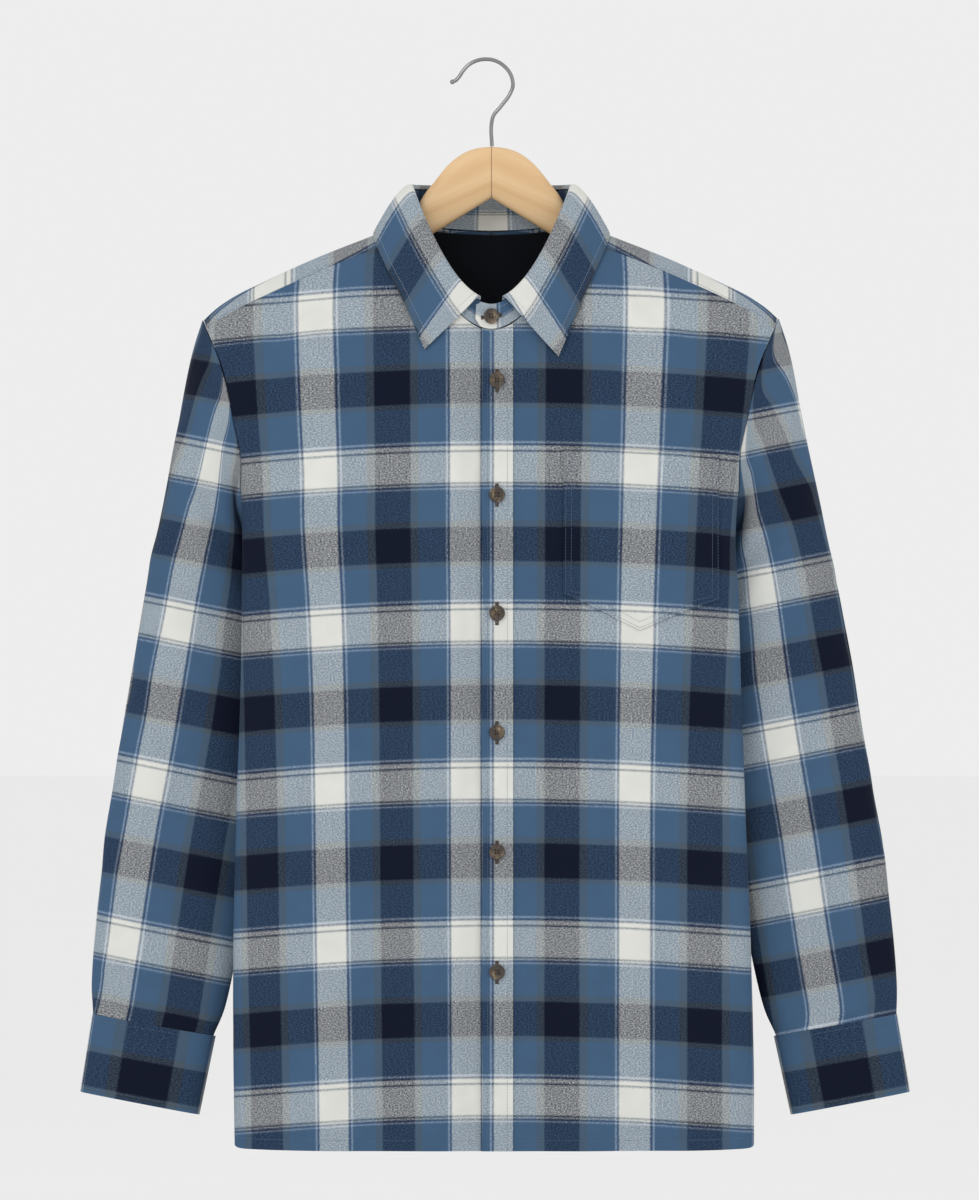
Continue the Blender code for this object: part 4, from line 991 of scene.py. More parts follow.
FRONT_CREASES = (  # x, z
    (-40.0, -250.0, -95.0, -420.0, 22.0, 1.4),
    (-60.0, -240.0, -150.0, -330.0, 20.0, -1.3),
    (-120.0, -205.0, -185.0, -330.0, 16.0, 1.6),
    (-168.0, -230.0, -196.0, -390.0, 12.0, -2.0),
    (-150.0, -330.0, -178.0, -560.0, 20.0, 1.8),
    (-120.0, -470.0, -100.0, -800.0, 26.0, -1.8),
    (-175.0, -560.0, -160.0, -860.0, 20.0, 2.0),
    (-60.0, -600.0, -48.0, -890.0, 24.0, 2.2),
    (-25.0, -420.0, -22.0, -880.0, 12.0, -1.2),
    (-140.0, -760.0, -128.0, -897.0, 16.0, 2.4),
    (45.0, -250.0, 90.0, -380.0, 20.0, 1.2),
    (70.0, -230.0, 165.0, -330.0, 20.0, -1.2),
    (130.0, -205.0, 190.0, -330.0, 15.0, 1.6),
    (172.0, -240.0, 196.0, -400.0, 12.0, -2.0),
    (150.0, -480.0, 172.0, -640.0, 18.0, 1.6),
    (32.0, -470.0, 38.0, -880.0, 18.0, -1.8),
    (70.0, -500.0, 78.0, -890.0, 24.0, 2.2),
    (118.0, -560.0, 122.0, -890.0, 24.0, -1.8),
    (168.0, -640.0, 160.0, -892.0, 20.0, 2.2),
)
BACK_CREASES = (  # x, z
    (-28.0, -240.0, -40.0, -760.0, 26.0, 2.6),
    (26.0, -240.0, 44.0, -700.0, 24.0, 2.2),
    (0.0, -260.0, 4.0, -880.0, 20.0, -2.4),
    (-95.0, -300.0, -80.0, -880.0, 26.0, -1.8),
    (98.0, -320.0, 92.0, -885.0, 24.0, -2.0),
    (-150.0, -260.0, -185.0, -420.0, 20.0, 1.8),
    (150.0, -260.0, 184.0, -430.0, 18.0, 2.0),
    (-150.0, -520.0, -140.0, -880.0, 20.0, 2.2),
    (146.0, -480.0, 150.0, -880.0, 22.0, 2.0),
)
SLEEVE_CREASES = (  # turns round from the outer edge over the front, share of the way down
    (0.10, 0.16, 0.34, 0.24, 16.0, -1.8),
    (0.12, 0.22, 0.36, 0.31, 14.0, 1.6),
    (0.05, 0.36, 0.30, 0.33, 16.0, 1.2),
    (0.16, 0.44, 0.44, 0.38, 16.0, -2.0),
    (0.18, 0.50, 0.46, 0.43, 13.0, 1.8),
    (0.04, 0.54, 0.28, 0.60, 16.0, -1.6),
    (0.10, 0.60, 0.40, 0.53, 14.0, 1.6),
    (0.20, 0.68, 0.46, 0.62, 15.0, -1.8),
    (0.04, 0.72, 0.26, 0.80, 15.0, 1.4),
    (0.16, 0.84, 0.40, 0.76, 15.0, -1.6),
    (0.10, 0.90, 0.14, 0.99, 9.0, -1.8),
    (0.20, 0.88, 0.22, 0.99, 9.0, 1.9),
    (0.31, 0.90, 0.31, 0.99, 8.0, -1.8),
    (0.38, 0.88, 0.40, 0.99, 9.0, 1.6),
    (0.56, 0.30, 0.84, 0.38, 18.0, -1.8),
    (0.58, 0.47, 0.88, 0.41, 18.0, 1.8),
    (0.60, 0.62, 0.86, 0.56, 16.0, -2.0),
    (0.58, 0.76, 0.90, 0.70, 16.0, 1.8),
    (0.62, 0.90, 0.66, 0.99, 9.0, -1.8),
    (0.80, 0.88, 0.84, 0.99, 9.0, 1.8),
)


def creased(table, a, b):
    """Sum over the rows of height * exp(-(distance to the line / width)^2), where distance past an end counts half."""
    total = np.zeros(np.broadcast(a, b).shape)
    for from_a, from_b, to_a, to_b, width, height in table:
        span = math.hypot(to_a - from_a, to_b - from_b)
        da, db = (to_a - from_a) / span, (to_b - from_b) / span
        along = (a - from_a) * da + (b - from_b) * db
        aside = (b - from_b) * da - (a - from_a) * db
        past = np.maximum(0.0, np.maximum(-along, along - span))
        wander = 0.25 * width * np.sin(along / (1.9 * width) + from_a)
        total += height * np.exp(-(((aside + wander) / width) ** 2) - (past / (1.6 * width)) ** 2)
    return total


def front_creases(x, z):
    """Creases of the fronts, a slow uneven swing of the whole panel, and a wave along the hem."""
    swing = 0.7 * np.sin(x / 38.0 + z / 160.0) * np.sin(z / 118.0 + 0.7) + 0.35 * np.sin(x / 17.0 - z / 83.0)
    hem = 1.6 * np.sin(x / 26.0 + 0.8) * np.exp(-(z - HEM_Z) / 90.0)
    edge = 1 - 0.85 * ease((np.abs(x) - 178.0) / 30.0)
    calm = 0.35 + 0.65 * ease((np.abs(x - 5.0) - 16.0) / 26.0)
    return (creased(FRONT_CREASES, x, z) + swing + hem) * edge * calm


def back_creases(x, z):
    swing = 0.8 * np.sin(x / 41.0 - z / 150.0) * np.sin(z / 131.0 + 0.2)
    hem = 1.6 * np.sin(x / 29.0) * np.exp(-(z - HEM_Z) / 90.0)
    edge = 1 - 0.85 * ease((np.abs(x) - 178.0) / 30.0)
    below_yoke = ease((YOKE_BACK_Z - z) / 30.0)
    return (creased(BACK_CREASES, x, z) + swing + hem) * edge * below_yoke


LEFT_DARK_X, LEFT_REPEAT = 57.7, 117.3
RIGHT_DARK_X, RIGHT_REPEAT = -77.9, 110.9
DARK_Z = -397.8


def body_check(x, z, length, side):
    """Repeats across, from the length round the ring with the columns splayed to the shoulders, and repeats down.

    The rows droop towards the sides as the square of the distance.
    """
    splay = 1 + 0.08 * np.clip((z + 625.0) / 396.0, 0.0, 1.4) ** 1.5 * np.abs(length) / 132.0
    dark, repeat = (LEFT_DARK_X, LEFT_REPEAT) if side > 0 else (RIGHT_DARK_X, RIGHT_REPEAT)
    across = (length / splay - dark) / repeat
    droop = 9.1 * np.minimum(np.abs(x - 11.0) / 200.0, 1.2) ** 2
    return np.stack([across, (DARK_Z - z - droop) / WEFT_REPEAT], axis=-1)


def on_front(x, z):
    """Points and normals of a creased front at a grid of x and height."""
    return bent_front(flat_places(x, z))


def bent_front(places):
    points, normals = on_form(torso, places)
    normals = outward(points, normals, (0, 0, -560))
    points = points + normals * front_creases(points[..., 0], points[..., 2])[..., None]
    return points, outward(points, mitred(points), (0, 0, -560))


def front_check(places, points, side):
    length = ring_to_cloth(places)[..., 0]
    return body_check(points[..., 0], places[..., 1], length, side)


def make_fronts():
    """Both fronts; the wearer's right one runs back under the placket by two layers."""
    made = []
    for name, side, centre in (("front_right", -1, UNDERLAP_X), ("front_left", 1, PLACKET_EDGES[0])):
        places = finer(front_places(side, centre), 6, 9)
        points, _ = bent_front(places)
        if side < 0:
            points[..., 1] += UNDERLAP_DROP * ease((points[..., 0] + 30) / 14)
        made.append(cloth(f"flannel_{name}", points, front_check(places, points, side), (0, 0, -560), FLANNEL_CLOTH,
                          name))
    return made


def make_back():
    right, left = (side_places(side, YOKE_BACK_Z, back=True) for side in (-1, 1))
    high = back_seam_places()
    z = np.full(len(high), YOKE_BACK_Z)
    high = np.stack([ring_angle(high[:, 0], z, back=True), z], axis=1)
    half = SEAM_CELLS + NECK_CELLS
    angle = np.linspace(math.pi, math.pi / 2, 300)
    low = even(torso, np.stack([angle, hem_z(angle)], axis=1), half)
    low = np.concatenate([low[:0:-1] * (-1, 1), low])
    right[-1], left[-1] = high[0], high[-1]
    lengths = patch(*(ring_to_cloth(edge, True) for edge in (right, left, low, high)))
    lengths = finer(lengths, 6, 9)
    places = cloth_to_ring(lengths, True)
    points, normals = on_form(torso, places)
    normals = outward(points, normals, (0, 0, -560))
    points = points + normals * back_creases(points[..., 0], points[..., 2])[..., None]
    check = body_check(points[..., 0], places[..., 1], lengths[..., 0], 1)
    return cloth("flannel_back", points, check + (0.4, 0), (0, 0, -560), FLANNEL_CLOTH, "back")


def make_yoke():
    low = chain(front_seam_places(-1)[::-1], neck_back_places(2 * NECK_CELLS), front_seam_places(1))
    places = finer(yoke_places(low, back_seam_places()), 6, 7)
    points, normals = on_form(shoulder, places)
    x, drop = places[..., 0], places[..., 1]
    normals = outward(points, normals, (0, 0, -260))
    points = points + normals * (0.5 * np.sin(x / 23.0) * np.sin(drop / 31.0))[..., None]
    # the yoke is cut across the cloth: its stripes run along the shoulder, leaning with the slope
    check = np.stack([(drop * 1.0 + 42.0) / WARP_REPEAT + 0.18 * np.abs(x) / 116.0, (np.abs(x) + 14.0) / WEFT_REPEAT], -1)
    return cloth("flannel_yoke", points, check, (0, 0, -260), FLANNEL_CLOTH, "yoke")


def make_yoke_lining():
    reach, under = 67.0, 20.0
    x = np.linspace(-reach, reach, 300)
    drop = np.maximum(drop_at(x, neck_back_z(np.clip(x, -72, 72))) + 1.0, under)
    low = even(shoulder, np.stack([x, drop], axis=1), 12)
    high = even(shoulder, np.stack([x, drop_at(x, YOKE_BACK_Z + 1.5)], axis=1), 12)
    share = np.linspace(0, 1, 6)[:, None]
    places = patch(low[0] + (high[0] - low[0]) * share, low[-1] + (high[-1] - low[-1]) * share, low, high)
    places = finer(places, 5, 6)
    points, normals = on_form(shoulder, places)
    normals = outward(points, normals, (0, 0, -260))
    check = places / 116.0
    return cloth("lining_yoke", points, check, (0, 0, -260), LINING_CLOTH, "yoke_lining",
                 lift=-LAYER - 1.7, normals=normals)


def make_placket():
    share = np.linspace(0, 1, 320)[None, :]
    edge = np.linspace(0, 1, 17)[:, None]
    wander = 0.5 * np.sin(share * 21.0) * (1 - edge)
    x = PLACKET_EDGES[0] + (PLACKET_EDGES[1] - PLACKET_EDGES[0]) * edge + wander
    z = HEM_Z + (neck_front_z(x) - 0.5 - HEM_Z) * share
    points, normals = on_front(x, z)
    check = np.stack([(x - 2.9) / WARP_REPEAT + 0.41 + 0 * z, (DARK_Z - z) / WEFT_REPEAT], axis=-1)
    full = 0.35 * (np.sin(np.pi * edge) ** 0.5 + 0 * z)
    points = points + normals * full[..., None]
    return cloth("flannel_placket", points, check, (0, 0, -560), FLANNEL_CLOTH, "placket", lift=LAYER,
                 normals=normals)


def make_pocket():
    u, v = np.meshgrid(np.linspace(0, 1, 66), np.linspace(0, 1, 74), indexing="ij")
    bottom, top = np.array(POCKET_BOTTOM), np.array(POCKET_TOP)
    x = bottom[0, 0] + (bottom[-1, 0] - bottom[0, 0]) * u
    low = np.interp(x, bottom[:, 0], bottom[:, 1])
    high = np.interp(x, top[:, 0], top[:, 1])
    z = low + (high - low) * v
    points, normals = on_front(x, z)
    places = flat_places(x, z)
    check = front_check(places, points, 1) + (0.004, 0.006)
    middle = (np.sin(np.pi * u) * np.sin(np.pi * np.clip(v * 0.92, 0, 1))) ** 0.7
    mouth = np.exp(-((1 - v) / 0.12) ** 2) * np.sin(np.pi * u)
    points = points + normals * (0.9 * middle + 1.3 * mouth)[..., None]
    return cloth("flannel_pocket", points, check, (0, 0, -560), FLANNEL_CLOTH, "pocket",
                 lift=LAYER + 0.3, normals=normals)


# --- sleeves and cuffs

RIGHT_LINE = ((-213.0, 203.0), (-333.5, 230.4), (-463.8, 258.5), (-594.9, 281.6), (-725.9, 303.0), (-810.0, 316.0))
LEFT_LINE = ((-213.0, 196.0), (-333.5, 208.0), (-435.8, 223.0), (-563.5, 240.3), (-684.7, 259.3), (-810.0, 279.0))


def sleeve_grid(side, across=5, rings=190):
    """The sleeve as a tube: from just outside the armhole into the rings of the sleeve's table."""
    loop, crest = armhole_loop(side)
    turns = loop_turns(loop, crest)
    order = np.argsort(turns)
    loop, turns = loop[order], turns[order]
    weights = spread(len(loop), across, around=True)
    loop = weights @ loop
    unrolled = np.concatenate([turns, [2 * math.pi]])
    turns = np.interp(np.arange(len(loop)) / across, np.arange(len(unrolled)), unrolled)
    shares = np.linspace(0, 1, rings) ** 1.08
    tube = sleeve_rings(side, turns, shares)
    under = ((1 - np.cos(turns)) / 2) ** 2
    away = np.stack([side * (0.9 - 0.5 * under), 0.45 * np.sin(turns), 0.75 * under], axis=1)
    start = loop + unit(away) * 1.25
    fade = (1 - ease(shares / 0.26))[None, :, None]
    points = tube + (start[:, None] - tube[:, :1]) * fade
    return points, turns, shares


def sleeve_creases(side, turns, shares):
    """Creases over the tube, set out in millimetres: 240 round and 600 down. The left sleeve's lie a little lower."""
    table = [
        (a * 240, (b + (0.02 if side > 0 else 0)) * 600, c * 240, (d + (0.02 if side > 0 else 0)) * 600, width, height)
        for a, b, c, d, width, height in SLEEVE_CREASES
    ]
    round_mm, down_mm = (turns / (2 * math.pi) * 240)[:, None], (shares * 600)[None]
    slow = 0.6 * np.sin(down_mm / 37.0 + round_mm / 19.0 * 0.6 + side) * np.sin(down_mm / 61.0)
    fade = ease((shares - 0.05) / 0.1) * (1 - ease((shares - 0.965) / 0.035))
    near_body = 1 - 0.8 * np.exp(-(((turns[:, None] - math.pi) / 0.9) ** 2))
    return (creased(table, round_mm, down_mm) + slow) * fade[None] * near_body


def sleeve_check(side, points):
    """Columns run beside a line down the sleeve's front, and rows rise 11 degrees to the outer edge."""
    line = np.array(RIGHT_LINE if side < 0 else LEFT_LINE)
    x, z = np.abs(points[..., 0]), points[..., 2]
    wrapped = np.concatenate([points, points[:1]])
    steps = np.linalg.norm(np.diff(wrapped, axis=0), axis=-1)
    round_mm = np.concatenate([np.zeros((1, z.shape[1])), np.cumsum(steps, axis=0)])
    front = len(points) // 2
    offset = np.abs(x[:front] - smooth(z[:front], line[:, 0], line[:, 1]))
    at = np.argmin(offset, axis=0)
    start = np.take_along_axis(round_mm, at[None], 0)
    knots = np.linspace(0, 1, len(start[0]))
    start = np.polyval(np.polyfit(knots, start[0], 7), knots)[None]
    away = round_mm - start
    across = 0.518 + away / (WARP_REPEAT if side < 0 else -WARP_REPEAT)
    lean = math.tan(math.radians(11.0)) * (x - smooth(z, line[:, 0], line[:, 1]))
    lean = np.concatenate([lean, lean[:1]])
    z = np.concatenate([z, z[:1]])
    down = ((-333.5 - (z - lean)) / 131.0 if side < 0 else (-435.8 - (z - lean)) / 126.0) + 0.513
    return np.stack([across, down], axis=-1)


def make_sleeve(name, side):
    points, turns, shares = sleeve_grid(side)
    normals = outward(points, mitred(points, True), (side * 250, 0, -520))
    check = sleeve_check(side, points)
    points = points + normals * sleeve_creases(side, turns, shares)[..., None]
    points[:, -1] += unit(points[:, -1] - points[:, -2]) * 0.7
    return cloth(f"flannel_{name}", points, check, (side * 250, 0, -520), FLANNEL_CLOTH, name, around=True)


def make_cuff(name, side):
    """A band round the wrist whose ends overlap at the back, the outer end fuller by a layer, with a soft wave round
    it.
    """
    share = np.linspace(0, 1, 150)
    top, hem = np.array(CUFF_TOP), np.array(CUFF_HEM)
    rows = np.linspace(0, 1, 26)
    value = top + (hem - top) * rows[:, None]
    girth = 2.0 * (value[:, 0] - value[:, 2]).mean() * 1.06
    over = CUFF_OVERLAP / girth
    turns = (CUFF_OPENING - over + share * (1 + over)) * 2 * math.pi
    swing = value[:, 5] if side > 0 else 0 * value[:, 5]
    points = oval(side, value[:, 0] + swing, value[:, 1], value[:, 2] + swing, value[:, 3], value[:, 4], turns)
    middle = points.mean(axis=0, keepdims=True)
    lift = (LAYER + 0.5) * ease((share - (1 - over - 0.03)) / (over * 0.3 + 0.02))[:, None, None]
    points = points + unit(points - middle) * lift
    points[:, 0] += (points[:, -1] - points[:, 0]) / 66.0 * 0.6
    soft = 0.5 * np.sin(share * 19.0)[:, None] * (0.4 + rows)[None]
    points = points + unit(points - middle) * soft[..., None]
    away = (share * (1 + over) - (0.25 + 1 - CUFF_OPENING + over) % 1.0) * girth
    check = np.stack([away[:, None] / WARP_REPEAT + 0 * rows, 0.655 + 0.5 * rows[None] + 0 * share[:, None]], axis=-1)
    return cloth(f"flannel_{name}", points, check, tuple(middle.mean(axis=1)[0]), FLANNEL_CLOTH, name,
                 thick=1.5)


# --- collar


def stand_shares():
    past = math.asin(-STAND_END_X * 2 / NECK_WIDTH) / math.pi
    under = math.asin(STAND_UNDER_X * 2 / NECK_WIDTH) / math.pi
    return np.linspace(-1 - under, 1 + past, 260)


def make_stand():
    """The band round the neck; its buttoned end is rounded off."""
    turn = stand_shares()
    height = np.linspace(0, 1, 18)
    end = ease((turn - turn[-1] + 0.03) / 0.03) ** 2
    crop = (0.42 * end)[:, None]
    points = stand_points(turn, height)
    middle = points.mean(axis=1, keepdims=True)
    points = points + (middle - points) * (crop * np.abs(2 * height - 1)[None] ** 2)[..., None]
    round_mm = np.concatenate([[0.0], np.cumsum(np.linalg.norm(np.diff(points[:, 0], axis=0), axis=1))])
    round_mm -= round_mm[len(round_mm) // 2]
    check = np.stack([np.broadcast_to(0.5 + (round_mm - round_mm[-1] + 10)[:, None] / WARP_REPEAT, points.shape[:2]),
                      np.broadcast_to(0.48 + 0.34 * height[None], points.shape[:2])], axis=-1)
    return cloth("flannel_collar_stand", points, check, (0, 0, -160), FLANNEL_CLOTH, "collar_stand")


def collar_grid(count=240, rows=44):
    """The leaf: out of the stand's top edge, over a soft roll, and down to the edge that lies on the shirt."""
    end = 1 - math.asin(LEAF_END_X * 2 / STAND_TOP_WIDTH) / math.pi
    share = np.linspace(-1, 1, count)
    turn = share * end
    start = stand_points(turn, np.array([1.0]))[:, 0] + (0, 0, CLOTH / 2 + SEAM_GAP)
    x = np.sign(share) * smooth(np.abs(share), column(LEAF, LEAF_COLUMNS, "round"), column(LEAF, LEAF_COLUMNS, "x"))
    drop = smooth(np.abs(share), column(LEAF, LEAF_COLUMNS, "round"), column(LEAF, LEAF_COLUMNS, "drop"))
    drop = drop - 6.0 * ease((share - 0.7) / 0.3)
    edge, normals = on_form(shoulder, np.stack([x, drop], axis=-1)[:, None])
    edge = edge[:, 0] + normals[:, 0] * (LAYER + 1.2)
    out = unit(np.stack([np.sin(math.pi * turn), 1.2 * np.cos(math.pi * turn), 0 * turn], axis=1))
    first, second = start + (0.0, 0.0, 2.0 * ROLL) + out * 0.8, start + out * 12.0 + (0, 0, 2.0)
    t = (np.linspace(0, 1, rows) ** 1.35)[None, :, None]
    points = (
        (1 - t) ** 3 * start[:, None]
        + 3 * t * (1 - t) ** 2 * first[:, None]
        + 3 * t**2 * (1 - t) * second[:, None]
        + t**3 * edge[:, None]
    )
    return points, share, t[0, :, 0]


def make_collar():
    points, share, _ = collar_grid()
    edge = points[:, -1]
    round_mm = np.concatenate([[0.0], np.cumsum(np.linalg.norm(np.diff(edge, axis=0), axis=1))])
    half = np.interp(0.0, share, round_mm)
    end = round_mm[-1] - half
    # the point of each leaf lies at 0.62 of a repeat, and the rows cross from the fold to the edge
    along = 0.62 - (end - np.abs(round_mm - half)) / WARP_REPEAT
    steps = np.linalg.norm(np.diff(points, axis=1), axis=2)
    across_mm = np.concatenate([np.zeros((len(points), 1)), np.cumsum(steps, axis=1)], 1)
    across = 0.66 + (across_mm - across_mm[:, -1:] * 0.48) / WEFT_REPEAT
    slope = 0.16 * (across_mm / np.maximum(across_mm[:, -1:], 1e-6) - 0.5) * np.clip((np.abs(share) - 0.55) / 0.3, 0, 1)[:, None]
    check = np.stack([np.broadcast_to(along[:, None], across.shape) - slope, across], axis=-1)
    return cloth("flannel_collar", points, check, (0, 0, -175), FLANNEL_CLOTH, "collar", thick=1.5)


# ----------------------------------------------------------------------
# Sewing

STITCH = 2.5  # mm, with its gap
THREAD = 0.42


def run_length(path):
    return np.concatenate([[0.0], np.cumsum(np.linalg.norm(np.diff(path, axis=0), axis=1))])


def stitches(name, runs, finish, pitch=STITCH, thread=THREAD, fill=0.68):
    """Rows of stitches: along each run (points, normals) one low bead per pitch, six-sided, that dips into the cloth.

    A bead is a ring of six points at its middle, flattened, drawn together at both ends.
    """
    centres, forwards, ups = [], [], []
    for points, normals in runs:
        along = run_length(points)
        at = np.arange(pitch / 2, along[-1] - pitch / 2, pitch)
        pick = np.stack([np.interp(at, along, points[:, k]) for k in range(3)], axis=1)
        ahead = np.stack([np.interp(at + 0.4, along, points[:, k]) for k in range(3)], axis=1)
        behind = np.stack([np.interp(at - 0.4, along, points[:, k]) for k in range(3)], axis=1)
        up = unit(np.stack([np.interp(at, along, normals[:, k]) for k in range(3)], axis=1))
        centres.append(pick), forwards.append(unit(ahead - behind)), ups.append(up)
    c, f, n = np.concatenate(centres), np.concatenate(forwards), np.concatenate(ups)
    s = np.cross(f, n)
    long, wide = pitch * fill / 2, thread / 2
    shape = [(-long, 0, 0)]
    shape += [(along * long, wide * fat * math.cos(a), wide * fat * math.sin(a)) for along, fat in ((-0.6, 0.8), (0.6, 0.8))
              for a in (0.3, 1.35, 2.4, 3.45, 4.5, 5.55)]
    shape += [(long, 0, 0)]
    shape = np.array(shape)
    points = (c[:, None] + f[:, None] * shape[None, :, :1] + s[:, None] * shape[None, :, 1:2]
              + n[:, None] * (shape[None, :, 2:] + wide * 0.25))
    one = []
    for k in range(6):
        j = (k + 1) % 6
        one += [(0, 1 + j, 1 + k), (1 + k, 1 + j, 7 + j), (1 + k, 7 + j, 7 + k), (7 + k, 7 + j, 13)]
    faces = (np.array(one)[None] + 14 * np.arange(len(c))[:, None, None]).reshape(-1, 3)
    return dressed(put(name, points.reshape(-1, 3), faces, finish))


def front_run(x, z, lift):
    """A run over the creased front through places given by x and height."""
    x, z = np.broadcast_arrays(np.asarray(x, float), np.asarray(z, float))
    along = np.concatenate([[0.0], np.cumsum(np.hypot(np.diff(x), np.diff(z)))])
    at = np.linspace(0, along[-1], max(8, int(along[-1] / 2.0)))
    x, z = np.interp(at, along, x), np.interp(at, along, z)
    points, normals = on_form(torso, flat_places(x, z)[:, None])
    normals = outward(points, normals, (0, 0, -560))
    points = points + normals * (front_creases(x, z)[:, None, None] + lift)
    return points[:, 0], normals[:, 0]


def sew_front():
    face = CLOTH / 2 + 0.05
    placket = LAYER + face + 0.2
    runs = []
    down = np.linspace(neck_front_z(0) - 4, HEM_Z + 2, 300)
    runs.append(front_run(PLACKET_EDGES[1] - 4.6 + 0 * down, down, placket))
    runs.append(front_run(PLACKET_EDGES[0] + 4.6 + 0 * down, down, placket))
    for side, start in ((-1, -12.0), (1, 22.0)):
        angle = np.linspace(ring_angle(start, HEM_Z), side * 1.45, 160)
        p = torso(angle, hem_z(angle) + 8.7)
        runs.append(front_run(p[:, 0], p[:, 2], face))
    for side in (-1, 1):
        places = front_seam_places(side)
        p = shoulder(places[:, 0], -YOKE_FRONT_DROP + 1.6)
        points, normals = on_form(shoulder, np.stack([np.interp(np.linspace(0, 7, 90), np.arange(8), places[:, 0]),
                                                      np.full(90, -YOKE_FRONT_DROP + 1.8)], axis=1)[:, None])
        normals = outward(points, normals, (0, 0, -260))
        runs.append((points[:, 0] + normals[:, 0] * face, normals[:, 0]))
    stitches("thread_front", runs, THREAD_BLUE)


def sew_pocket():
    top, bottom = np.array(POCKET_TOP), np.array(POCKET_BOTTOM)
    lift = LAYER + 0.3 + CLOTH / 2 + 0.35
    runs = []
    for inset_mm in (1.8, 6.4):
        u = np.array([top[0, 0] + inset_mm, *(bottom[:, 0] + (inset_mm, inset_mm * 0.6, 0, -inset_mm * 0.6, -inset_mm)),
                      top[1, 0] - inset_mm])
        v = np.array([top[0, 1] - 1, *(bottom[:, 1] + inset_mm * np.array([0.4, 1.0, 1.06, 1.0, 0.4])), top[1, 1] - 1])
        runs.append(front_run(u, v, lift))
    runs.append(front_run([60.6, 119.5, 187.0], [-346.6, -363.2, -350.0], lift + 0.6))
    for x, sign in ((top[0, 0], 1), (top[1, 0], -1)):
        z = top[0, 1] if sign > 0 else top[1, 1]
        runs.append(front_run([x + sign * 9.5, x + sign * 2.0], [z - 1.5, z - 21.0], lift + 0.5))
    stitches("thread_pocket", runs, THREAD_BLUE)


def sew_collar():
    points, _, _ = collar_grid(480, 60)
    normals = outward(points, mitred(points), (0, 0, -175))
    points = points + normals * 0.8
    across = np.cumsum(np.linalg.norm(np.diff(points, axis=1), axis=2), axis=1)
    across = np.concatenate([np.zeros((len(points), 1)), across], axis=1)
    inner = np.argmin(np.abs(across - (across[:, -1:] - 5.4)), axis=1)
    pick = np.arange(len(points))
    ends = int(0.012 * len(points))
    body = slice(ends, len(points) - ends)
    runs = [(points[pick, inner][body], normals[pick, inner][body])]
    for row in (ends, len(points) - 1 - ends):
        stop = inner[row]
        runs.append((points[row, 6:stop], normals[row, 6:stop]))
    stitches("thread_collar", runs, THREAD_PALE)
    turn = stand_shares()
    grid = stand_points(turn, np.linspace(0, 1, 18))
    up = outward(grid, mitred(grid), (0, 0, -160))
    grid = grid + up * (CLOTH / 2 + 0.05)
    front = slice(200, 252)
    stitches("thread_stand", [(grid[front, 3], up[front, 3]), (grid[front, 14], up[front, 14])], THREAD_PALE)


def sew_back():
    runs = []
    for x_from, x_to in ((-195.0, 195.0),):
        x = np.linspace(x_from, x_to, 300)
        points, normals = on_form(shoulder, np.stack([x, drop_at(x, YOKE_BACK_Z) - 2.2], axis=1)[:, None])
        normals = outward(points, normals, (0, 0, -260))
        runs.append((points[:, 0] + normals[:, 0] * (CLOTH / 2 + 0.3), normals[:, 0]))
    angle = np.linspace(math.pi - 1.45, math.pi + 1.45, 400)
    points, normals = on_form(torso, np.stack([angle, hem_z(angle) + 8.7], axis=1)[:, None])
    normals = outward(points, normals, (0, 0, -560))
    lift = back_creases(points[..., 0], points[..., 2])[..., None] + CLOTH / 2 + 0.05
    runs.append(((points + normals * lift)[:, 0], normals[:, 0]))
    stitches("thread_back", runs, THREAD_BLUE)


def sew_cuffs():
    runs = []
    for side in (-1, 1):
        turns = np.linspace(0, 2 * math.pi, 240) + 0.01
        for share in (0.07, 0.93):
            value = np.array(CUFF_TOP) + (np.array(CUFF_HEM) - np.array(CUFF_TOP)) * share
            swing = value[5] if side > 0 else 0.0
            ring, fuller = (
                oval(side, value[0] + swing + grow, value[1], value[2] + swing - grow, value[3], value[4] + grow, turns)
                for grow in (1.35, 2.35)
            )
            keep = turns < CUFF_OPENING * 2 * math.pi - 0.35
            ring, fuller = ring.reshape(-1, 3)[keep], fuller.reshape(-1, 3)[keep]
            runs.append((ring, unit(fuller - ring)))
    stitches("thread_cuffs", runs, THREAD_BLUE)


# ----------------------------------------------------------------------
# Buttons and buttonholes


def facing(axis):
    """Right and up directions on the face of a button that looks along axis."""
    axis = np.array(axis, float) / np.linalg.norm(axis)
    across = unit(np.cross((0.0, 0.0, 1.0), axis))
    return across, np.cross(axis, across), axis


HOLES = np.array([(1.25, 1.25), (-1.25, 1.25), (-1.25, -1.25), (1.25, -1.25)])


